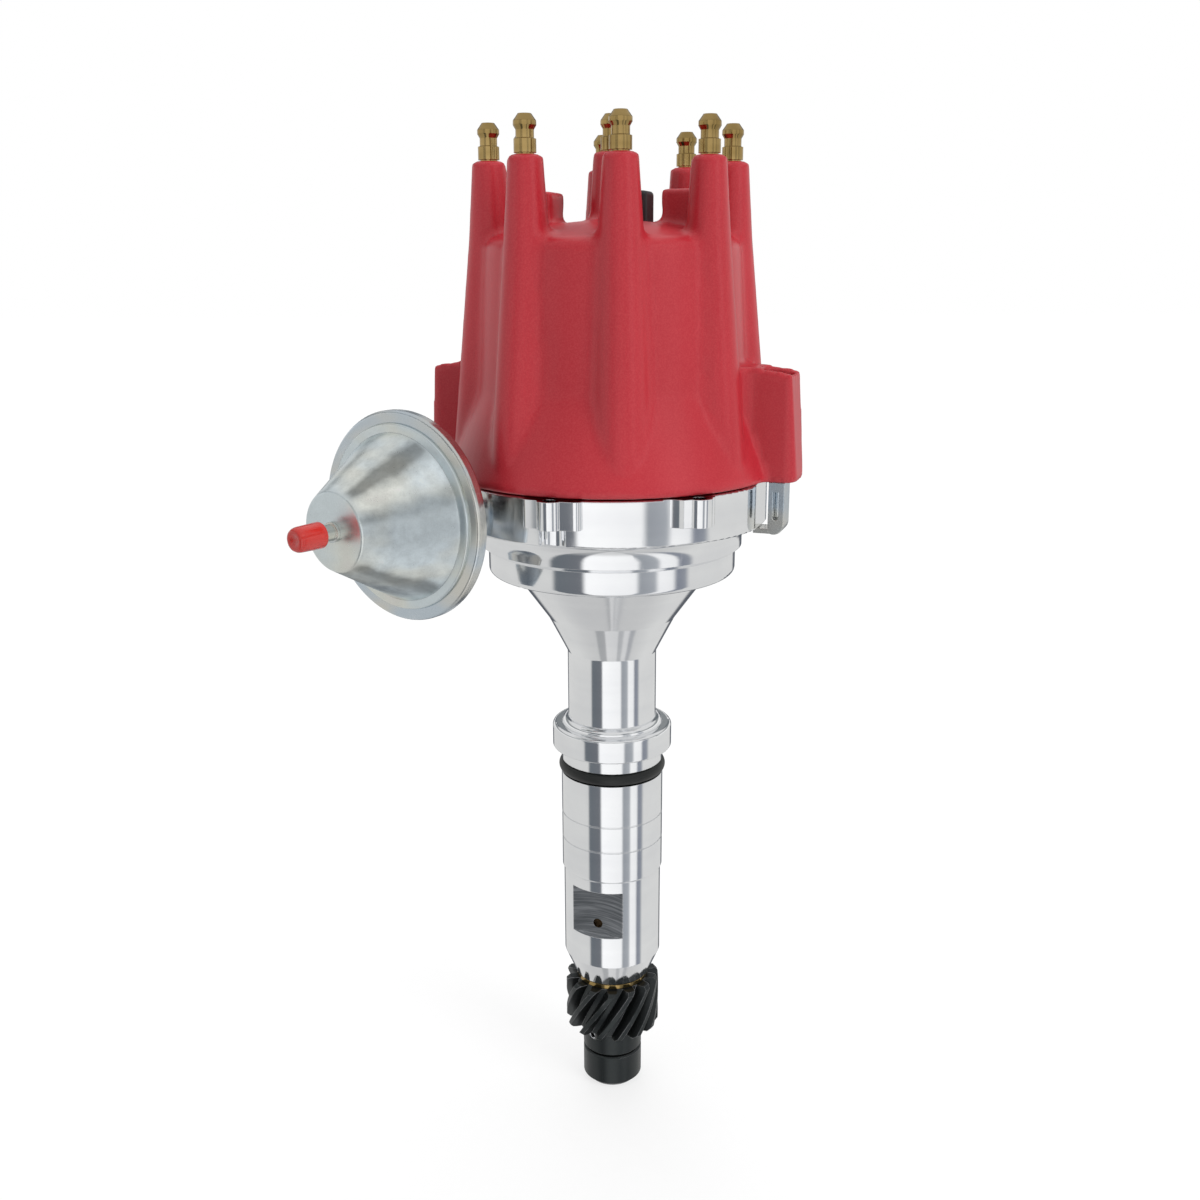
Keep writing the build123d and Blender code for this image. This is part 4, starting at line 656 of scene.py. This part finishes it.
@dataclass
class Carried:
    """The CAD nodes that keep their shape, each with its finish."""

    finishes: dict[Finish, tuple[str, ...]] = field(default_factory=lambda: {
        Finish.ALUMINIUM: ("housing",),
        Finish.GROUND_STEEL: (
            "main_shaft", "gear_roll_pin", "shim_washers", "advance_cam", "reluctor", "weight_pivot_pins",
            "advance_springs", "plate_snap_ring", "pole_piece", "button_spring", "latch_spring_right",
            "latch_spring_left", "vacuum_spring", "vacuum_rod",
        ),
        Finish.BRASS: (
            "thrust_washer", "plug_terminals", "coil_terminal", "rotor_blade", "rotor_contact_spring",
            "rotor_blade_rivet",
        ),
        Finish.BRONZE: ("upper_bushing", "lower_bushing"),
        Finish.ZINC: (
            "advance_base_plate", "advance_weight_right", "advance_weight_left", "pickup_plate",
            "pickup_screws", "module_screws", "rotor_screws", "latch_hook_right", "latch_hook_left",
            "latch_screw_right", "latch_screw_left", "vacuum_can_back", "diaphragm_cup", "vacuum_nipple",
            "vacuum_bracket", "bracket_screws",
        ),
        Finish.CAN: ("vacuum_can_front",),
        Finish.OXIDE: ("drive_gear", "oil_pump_coupling"),
        Finish.RED: ("cap_shell",),
        Finish.RED_VINYL: ("nipple_cap",),
        Finish.BLACK: ("cap_vent_plug",),
        Finish.ROTOR: ("rotor_body",),
        Finish.MODULE: ("ignition_module",),
        Finish.CARBON: ("carbon_button",),
        Finish.WINDING: ("pickup_coil",),
        Finish.RUBBER: ("housing_o_ring", "lead_grommet", "vacuum_diaphragm"),
    })

    def dress(self, dresser: Dresser) -> None:
        """Gives every CAD node its finish.

        Args:
            dresser: what holds the materials.
        """
        for finish, names in self.finishes.items():
            dresser.nodes(finish, *names)


def linked(name: str, data: Any) -> Any:
    """A new object of a mesh, camera or lamp, in the scene."""
    made = bpy.data.objects.new(name, data)
    bpy.context.scene.collection.objects.link(made)
    return made


def finished(name: str, shape: Any) -> Any:
    """Puts a bmesh in a new object, merged and with its faces turned outwards.

    Args:
        name: the object's name.
        shape: the bmesh, which is freed.

    Returns:
        The object.
    """
    bmesh.ops.remove_doubles(shape, verts=shape.verts, dist=MERGE)
    bmesh.ops.recalc_face_normals(shape, faces=shape.faces)
    mesh = bpy.data.meshes.new(name)
    shape.to_mesh(mesh)
    shape.free()
    return linked(name, mesh)


def spun(profile: Profile, steps: int) -> Any:
    """A closed profile turned round Z.

    Args:
        profile: its corners as radius and height in millimetres.
        steps: how many faces go round.

    Returns:
        The bmesh.
    """
    shape = bmesh.new()
    verts = [shape.verts.new((radius * MM, 0.0, height * MM)) for radius, height in profile]
    edges = [shape.edges.new(pair) for pair in zip(verts, verts[1:] + verts[:1])]
    bmesh.ops.spin(
        shape, geom=verts + edges, cent=(0, 0, 0), axis=(0, 0, 1), angle=FULL_TURN, steps=steps,
        use_merge=True,
    )
    return shape


@dataclass
class CapMoulding:
    """The cap's shell with the soft hollows that a mould leaves where towers, ribs and blocks meet it.

    Lengths are millimetres and azimuths degrees, except the cell of the even mesh, in metres, and the bend
    that counts as a sharp hollow, in radians. The wall's profile runs from the rim to the dome as radius and
    height; a rib's two ends are height, distance from the axis and radius.
    """

    wall: Profile = (
        (48.05, 91.9), (40.1, 112.9), (37.4, 152.3), (37.2, 153.3), (36.6, 154.35), (35.66, 155.15),
        (34.9, 155.5),
    )
    outside: float = 62.0
    top: float = 157.0
    gap_steps: int = 160
    towers: int = 8
    first_tower: float = 3.45
    rib_low: Point = (87.8, 39.6, 8.35)
    rib_high: Point = (155.0, 34.7, 6.35)
    rib_overshoot: float = 2.0
    rib_segments: int = 72
    ears: tuple[float, ...] = (70.95, 250.95)
    ear_half_width: float = 14.0
    ear_block_length: float = 44.0
    ear_block_middle: float = 54.0
    ear_block_margin: float = 1.0
    ear_reach: float = 15.0
    tower_out: float = 34.7
    tower_top: float = 176.5
    centre_top: float = 179.1
    plug: tuple[float, float] = (3.2, 9.0)
    plug_segments: int = 40
    cell: float = 0.00096
    sharp: float = 0.3
    dome: tuple[float, float] = (154.0, 166.5)
    skin_foot: float = 92.0
    skin_least: float = 37.0
    skin_slope: float = 0.065
    skin_depth: float = 1.2
    rings: int = 3
    rounds: int = 10
    polish: int = 2
    relax: float = 0.5

    def tower_turn(self, number: int) -> float:
        """Azimuth of one tower in radians."""
        return math.radians(self.first_tower + number * 360 / self.towers)

    def gaps(self) -> Any:
        """The ring of air round the wall between rim and dome."""
        foot, peak = self.wall[0], self.wall[-1]
        corners = (*self.wall, (peak[0], self.top), (self.outside, self.top), (self.outside, foot[1]))
        return finished("cap_gaps", spun(corners, self.gap_steps))

    def ribs(self) -> Any:
        """The eight leaning ribs, a little taller than the wall."""
        shape = bmesh.new()
        low_z, low_out, low_radius = self.rib_low
        high_z, high_out, high_radius = self.rib_high
        depth = self.top + self.rib_overshoot - low_z
        rise = depth / (high_z - low_z)
        top_out = low_out + (high_out - low_out) * rise
        top_radius = low_radius + (high_radius - low_radius) * rise
        for number in range(self.towers):
            made = bmesh.ops.create_cone(
                shape, cap_ends=True, segments=self.rib_segments, radius1=low_radius * MM,
                radius2=top_radius * MM, depth=depth * MM,
            )["verts"]
            upper = [v for v in made if v.co.z > 0]
            bmesh.ops.translate(shape, verts=made, vec=(0, -low_out * MM, (low_z + depth / 2) * MM))
            bmesh.ops.translate(shape, verts=upper, vec=(0, (low_out - top_out) * MM, 0))
            turn = Matrix.Rotation(self.tower_turn(number), 3, "Z")
            bmesh.ops.rotate(shape, verts=made, cent=(0, 0, 0), matrix=turn)
        return finished("cap_ribs", shape)

    def ear_spaces(self) -> Any:
        """Two blocks that hold the ears and their own blends."""
        shape = bmesh.new()
        low, high = self.rib_low[0] - self.ear_block_margin, self.top + self.ear_block_margin
        size = (2 * self.ear_half_width, self.ear_block_length, high - low)
        middle = (0, -self.ear_block_middle * MM, (low + high) / 2 * MM)
        for azimuth in self.ears:
            made = bmesh.ops.create_cube(shape, size=MM)["verts"]
            bmesh.ops.scale(shape, verts=made, vec=size)
            bmesh.ops.translate(shape, verts=made, vec=middle)
            turn = Matrix.Rotation(math.radians(azimuth), 3, "Z")
            bmesh.ops.rotate(shape, verts=made, cent=(0, 0, 0), matrix=turn)
        return finished("cap_ear_spaces", shape)

    def plugs(self) -> Any:
        """Fillings for the towers' bores round the terminals' stems, level with the towers' tops."""
        shape = bmesh.new()
        radius, depth = self.plug
        spots = [(0.0, 0.0, self.centre_top)]
        for number in range(self.towers):
            turn = self.tower_turn(number)
            spots.append((self.tower_out * math.sin(turn), -self.tower_out * math.cos(turn), self.tower_top))
        for x, y, top in spots:
            made = bmesh.ops.create_cone(
                shape, cap_ends=True, segments=self.plug_segments, radius1=radius * MM, radius2=radius * MM,
                depth=depth * MM,
            )["verts"]
            bmesh.ops.translate(shape, verts=made, vec=(x * MM, y * MM, (top - depth / 2) * MM))
        return finished("cap_plugs", shape)

    @staticmethod
    def combine(body: Any, tool: Any, operation: str) -> None:
        """Adds the difference or union of one object with another, as a modifier."""
        step = body.modifiers.new("step", "BOOLEAN")
        step.operation = operation
        step.solver = "MANIFOLD"
        step.object = tool

    def even_mesh(self) -> Any:
        """An even mesh over the shell's solid, with the ribs' wide blends cut back and the bores filled.

        Returns:
            The new mesh.
        """
        shape = bmesh.new()
        shape.from_mesh(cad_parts["cap_shell"].data)
        rough = finished("cap_rough", shape)
        gaps, ribs, ears, plugs = self.gaps(), self.ribs(), self.ear_spaces(), self.plugs()
        self.combine(gaps, ribs, "DIFFERENCE")
        self.combine(gaps, ears, "DIFFERENCE")
        self.combine(rough, gaps, "DIFFERENCE")
        self.combine(rough, plugs, "UNION")
        cells = rough.modifiers.new("cells", "REMESH")
        cells.mode = "VOXEL"
        cells.voxel_size = self.cell
        view = bpy.context.evaluated_depsgraph_get()
        mesh = bpy.data.meshes.new_from_object(rough.evaluated_get(view))
        for scrap in (rough, gaps, ribs, ears, plugs):
            bpy.data.objects.remove(scrap)
        return mesh

    def hollow(self, edge: Any) -> bool:
        """Whether an edge lies in a sharp hollow that the mould would round.

        Args:
            edge: an edge of the even mesh.

        Returns:
            True on the dome, and on the outside between rim and dome away from the ears.
        """
        if edge.calc_face_angle_signed(0.0) > -self.sharp:
            return False
        place = edge.verts[0].co / MM
        if self.dome[0] < place.z < self.dome[1]:
            return True
        (foot_radius, foot), (knee_radius, knee) = self.wall[:2]
        slope = (foot_radius - knee_radius) / (knee - foot) if place.z < knee else self.skin_slope
        skin = max(self.skin_least, knee_radius + (knee - place.z) * slope)
        azimuth = math.degrees(math.atan2(place.x, -place.y)) % 360
        by_ear = any(abs((azimuth - ear + 180) % 360 - 180) < self.ear_reach for ear in self.ears)
        outer = math.hypot(place.x, place.y) > skin - self.skin_depth
        return place.z > self.skin_foot and outer and not by_ear

    def soften(self, shape: Any) -> None:
        """Relaxes the cells round each sharp hollow, then all of them a little.

        Args:
            shape: the bmesh.
        """
        near = {v for e in shape.edges if self.hollow(e) for v in e.verts}
        for _ in range(self.rings):
            near |= {e.other_vert(v) for v in near for e in v.link_edges}
        ways = {"use_axis_x": True, "use_axis_y": True, "use_axis_z": True}
        for verts, rounds in ((list(near), self.rounds), (shape.verts, self.polish)):
            for _ in range(rounds):
                bmesh.ops.smooth_vert(shape, verts=verts, factor=self.relax, **ways)

    def build(self, dresser: Dresser) -> None:
        """Makes the piece in place of the CAD shell.

        Args:
            dresser: what holds the materials.
        """
        mesh = self.even_mesh()
        shape = bmesh.new()
        shape.from_mesh(mesh)
        self.soften(shape)
        for face in shape.faces:
            face.smooth = True
        shape.to_mesh(mesh)
        shape.free()
        piece = linked("cap_moulding", mesh)
        dresser.paint(piece, Finish.RED)
        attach(piece, "distributor")
        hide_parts("cap_shell")
        LOG.info("moulded the cap in %d faces", len(mesh.polygons))


@dataclass
class VinylCap:
    """The pull-off cap on the vacuum nipple: thin vinyl, tapered, its rounded end drawn in a little.

    Lengths are millimetres: the can's middle on its axis, how far its face lies ahead of that, and the cap's
    profile as radius and distance from the face.
    """

    middle: Point = (-60.0046, -29.9983, 79.8)
    axis_azimuth: float = -36.3
    face_depth: float = 24.6
    steps: int = 56
    profile: Profile = (
        (2.36, 5.0), (3.35, 4.7), (3.58, 4.85), (3.6, 5.2), (3.42, 11.6), (3.3, 12.5), (2.95, 13.2),
        (2.4, 13.5), (1.8, 13.45), (1.1, 13.15), (0.5, 12.95), (0.0, 12.9), (0.0, 12.05), (2.36, 12.05),
    )

    def build(self, dresser: Dresser) -> None:
        """Makes the piece in place of the CAD cap.

        Args:
            dresser: what holds the materials.
        """
        shape = spun(self.profile, self.steps)
        turn = math.radians(self.axis_azimuth)
        ahead = Vector((math.sin(turn), -math.cos(turn), 0.0))
        over = Vector((0.0, 0.0, 1.0))
        side = over.cross(ahead)
        start = Vector(self.middle) * MM + ahead * (self.face_depth * MM)
        place = Matrix.Translation(start) @ Matrix((side, over, ahead)).transposed().to_4x4()
        bmesh.ops.transform(shape, matrix=place, verts=shape.verts)
        for face in shape.faces:
            face.smooth = True
        piece = finished("nipple_cap_vinyl", shape)
        dresser.paint(piece, Finish.RED_VINYL)
        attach(piece, "hose_cap")
        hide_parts("nipple_cap")


@dataclass
class ButtonSpring:
    """The spring over the carbon button, a copy of the CAD spring in its resting shape.

    Fields give the joint that shortens it and the joint's travel in metres; neither is used.
    """

    joint: str = "button_plunge"
    travel: float = 0.001

    def build(self, dresser: Dresser) -> None:
        """Makes the piece in place of the CAD spring.

        Args:
            dresser: what holds the materials.
        """
        shape = bmesh.new()
        shape.from_mesh(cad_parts["button_spring"].data)
        piece = finished("button_coil", shape)
        dresser.paint(piece, Finish.GROUND_STEEL)
        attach(piece, "distributor")
        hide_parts("button_spring")
        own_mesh(piece)


@dataclass(frozen=True)
class Lamp:
    """One soft area lamp: its name, place and size in metres, and power in watts."""

    name: str
    place: Point
    width: float
    height: float
    power: float

    def hang(self, target: Point) -> None:
        """Makes the lamp and turns it to a target.

        Args:
            target: the point that it lights.
        """
        data = bpy.data.lights.new(self.name, "AREA")
        data.shape = "RECTANGLE"
        data.size, data.size_y = self.width, self.height
        data.energy = self.power
        lamp = linked(self.name, data)
        lamp.location = self.place
        lamp.visible_glossy = False
        lamp.rotation_mode = "QUATERNION"
        lamp.rotation_quaternion = (Vector(target) - Vector(self.place)).to_track_quat("-Z", "Y")


@dataclass
class Studio:
    """Camera, lamps, floor and surroundings, placed round the object.

    Lengths are metres and angles degrees. The room is what mirrors see round the horizon, as colours by
    azimuth: 0 is the front, and the back is at both ends. Each band has the heights where it begins, is full,
    starts to end and has ended, as the sine of the angle above the horizon.
    """

    eye: Point = (-0.003243, -0.375938, 0.149176)
    pitch: float = 15.163
    yaw: float = -0.07
    roll: float = -0.22
    focal_pixels: float = 1251.2
    clip: tuple[float, float] = (0.01, 20.0)
    floor_size: float = 6.0
    shadow_span: tuple[float, float] = (0.06, 0.42)
    shadow_share: float = 0.28
    lamps: tuple[Lamp, ...] = (
        Lamp("key", (0.9, -0.8, 0.7), 0.7, 0.9, 11.0),
        Lamp("fill", (-0.9, -0.6, 0.4), 0.7, 0.9, 1.9),
        Lamp("top", (0.0, 0.25, 1.1), 0.9, 0.9, 6.8),
        Lamp("back", (-0.2, 1.0, 0.45), 1.0, 0.7, 5.0),
    )
    target: Point = (0.0, 0.0, 0.04)
    room: tuple[tuple[float, Colour], ...] = (
        (-180, (0.62, 0.62, 0.62)), (-172, (0.10, 0.11, 0.13)), (-160, (0.10, 0.11, 0.13)),
        (-154, (0.70, 0.70, 0.69)), (-57, (0.70, 0.70, 0.69)), (-53, (0.15, 0.17, 0.19)),
        (-28, (0.17, 0.18, 0.20)), (-24, (1.1, 1.1, 1.1)), (21, WHITE), (25, (0.34, 0.36, 0.39)),
        (39, (0.42, 0.44, 0.47)), (43, WHITE), (57, (0.95, 0.95, 0.95)), (61, (0.24, 0.26, 0.31)),
        (70, (0.30, 0.32, 0.36)), (75, (0.74, 0.74, 0.73)), (150, (0.72, 0.72, 0.71)),
        (156, (0.12, 0.13, 0.15)), (168, (0.10, 0.11, 0.13)), (174, (0.62, 0.62, 0.62)),
    )
    window: tuple[float, float, float, float] = (0.02, 0.12, 0.2, 0.27)
    gap: tuple[float, float, float, float] = (0.24, 0.32, 0.42, 0.5)
    band_share: float = 0.8
    ceiling: tuple[float, float] = (0.5, 0.6)
    ground: tuple[float, float] = (0.72, 0.98)
    ground_share: float = 0.7

    def camera(self) -> None:
        """Makes the camera where the photograph was taken from."""
        pitch, yaw, roll = (math.radians(v) for v in (self.pitch, self.yaw, self.roll))
        ahead = Vector((math.sin(yaw) * math.cos(pitch), math.cos(yaw) * math.cos(pitch), -math.sin(pitch)))
        side = ahead.cross(Vector((0, 0, 1))).normalized()
        up = side.cross(ahead)
        right = math.cos(roll) * side + math.sin(roll) * up
        over = math.cos(roll) * up - math.sin(roll) * side
        data = bpy.data.cameras.new("camera")
        data.sensor_width = SENSOR_MM
        data.lens = self.focal_pixels / IMAGE_PIXELS * SENSOR_MM
        data.clip_start, data.clip_end = self.clip
        camera = linked("camera", data)
        basis = Matrix((right, over, -ahead)).transposed().to_4x4()
        camera.matrix_world = Matrix.Translation(self.eye) @ basis
        bpy.context.scene.camera = camera

    def floor(self) -> None:
        """Lays a large pale floor just under the object."""
        mesh = bpy.data.meshes.new("floor")
        shape = bmesh.new()
        bmesh.ops.create_grid(shape, x_segments=8, y_segments=8, size=self.floor_size)
        bmesh.ops.translate(shape, verts=shape.verts, vec=(0, 0, cad_box[0].z))
        shape.to_mesh(mesh)
        shape.free()
        floor = linked("floor", mesh)
        mesh.materials.append(self.paper())
        floor.visible_glossy = False

    def paper(self) -> Any:
        """Floor material: pale and matt, and plain white to the camera outside the shadow."""
        g = Graph.of_material("paper")
        where = g.place()
        x, y, _ = g.axes(where)
        tone = g.mix(g.noise(where, 300.0, 2.0), (0.80, 0.80, 0.80), (0.84, 0.84, 0.84))
        matt = g.node("ShaderNodeBsdfDiffuse", {}, {"Color": tone}).out(0)
        glow = g.node("ShaderNodeEmission", {}, {"Color": WHITE, "Strength": 1.02}).out(0)
        away = ((x * x + y * y) ** 0.5).between(*self.shadow_span)
        share = self.seen(g) * (away * self.shadow_share + (1.0 - self.shadow_share))
        both = g.node("ShaderNodeMixShader", {}, {0: share, 1: matt, 2: glow}).out(0)
        g.node("ShaderNodeOutputMaterial", {}, {"Surface": both})
        return g.owner

    @staticmethod
    def seen(g: Graph) -> Socket:
        """1 for a ray from the camera or from a mirror or glass, else 0."""
        path = g.node("ShaderNodeLightPath")
        kinds = ("Is Camera Ray", "Is Glossy Ray", "Is Transmission Ray")
        camera, glossy, glass = (path.out(kind) for kind in kinds)
        return (camera + glossy + glass).clamped()

    @staticmethod
    def band(height: Socket, edges: tuple[float, float, float, float]) -> Socket:
        """1 between the inner heights of a band, 0 outside the outer ones."""
        return height.between(*edges[:2]) * (1.0 - height.between(*edges[2:]))

    def surroundings(self) -> None:
        """White for the camera, a pale room with dark gaps in mirrors, and an even light on the object."""
        world = bpy.data.worlds.new("world")
        bpy.context.scene.world = world
        g = Graph(world)
        x, y, z = g.axes(g.node("ShaderNodeTexCoord").out("Generated"))
        turn = x.angle(y * -1.0) * SHARE_OF_TURN + 0.5
        stops = tuple((azimuth / 360 + 0.5, colour) for azimuth, colour in self.room)
        room = g.node("ShaderNodeValToRGB", {"stops": stops}, {0: turn}).out(0)
        room = g.mix(self.band(z, self.window) * self.band_share, room, (0.95, 0.95, 0.95))
        room = g.mix(self.band(z, self.gap) * self.band_share, room, (0.16, 0.18, 0.19))
        room = g.mix(z.between(*self.ceiling), room, (0.74, 0.74, 0.74))
        room = g.mix((z * -1.0).between(*self.ground) * self.ground_share, room, (0.55, 0.55, 0.55))
        path = g.node("ShaderNodeLightPath")
        plain = g.mix(path.out("Is Camera Ray"), (0.50, 0.50, 0.50), WHITE)
        colour = g.mix(path.out("Is Glossy Ray"), plain, room)
        back = g.node("ShaderNodeBackground", {}, {"Color": colour, "Strength": 1.0}).out(0)
        g.node("ShaderNodeOutputWorld", {}, {"Surface": back})

    def build(self) -> None:
        """Makes the whole studio."""
        self.camera()
        self.floor()
        self.surroundings()
        for lamp in self.lamps:
            lamp.hang(self.target)
        bpy.context.scene.view_settings.view_transform = "Standard"
        LOG.info("studio ready")


def main() -> None:
    """Builds the scene in order."""
    logging.basicConfig(level=logging.INFO, format="%(message)s")
    Studio().build()
    dresser = Dresser()
    Carried().dress(dresser)
    CapMoulding().build(dresser)
    VinylCap().build(dresser)
    ButtonSpring().build(dresser)


if __name__ == "__main__":
    main()
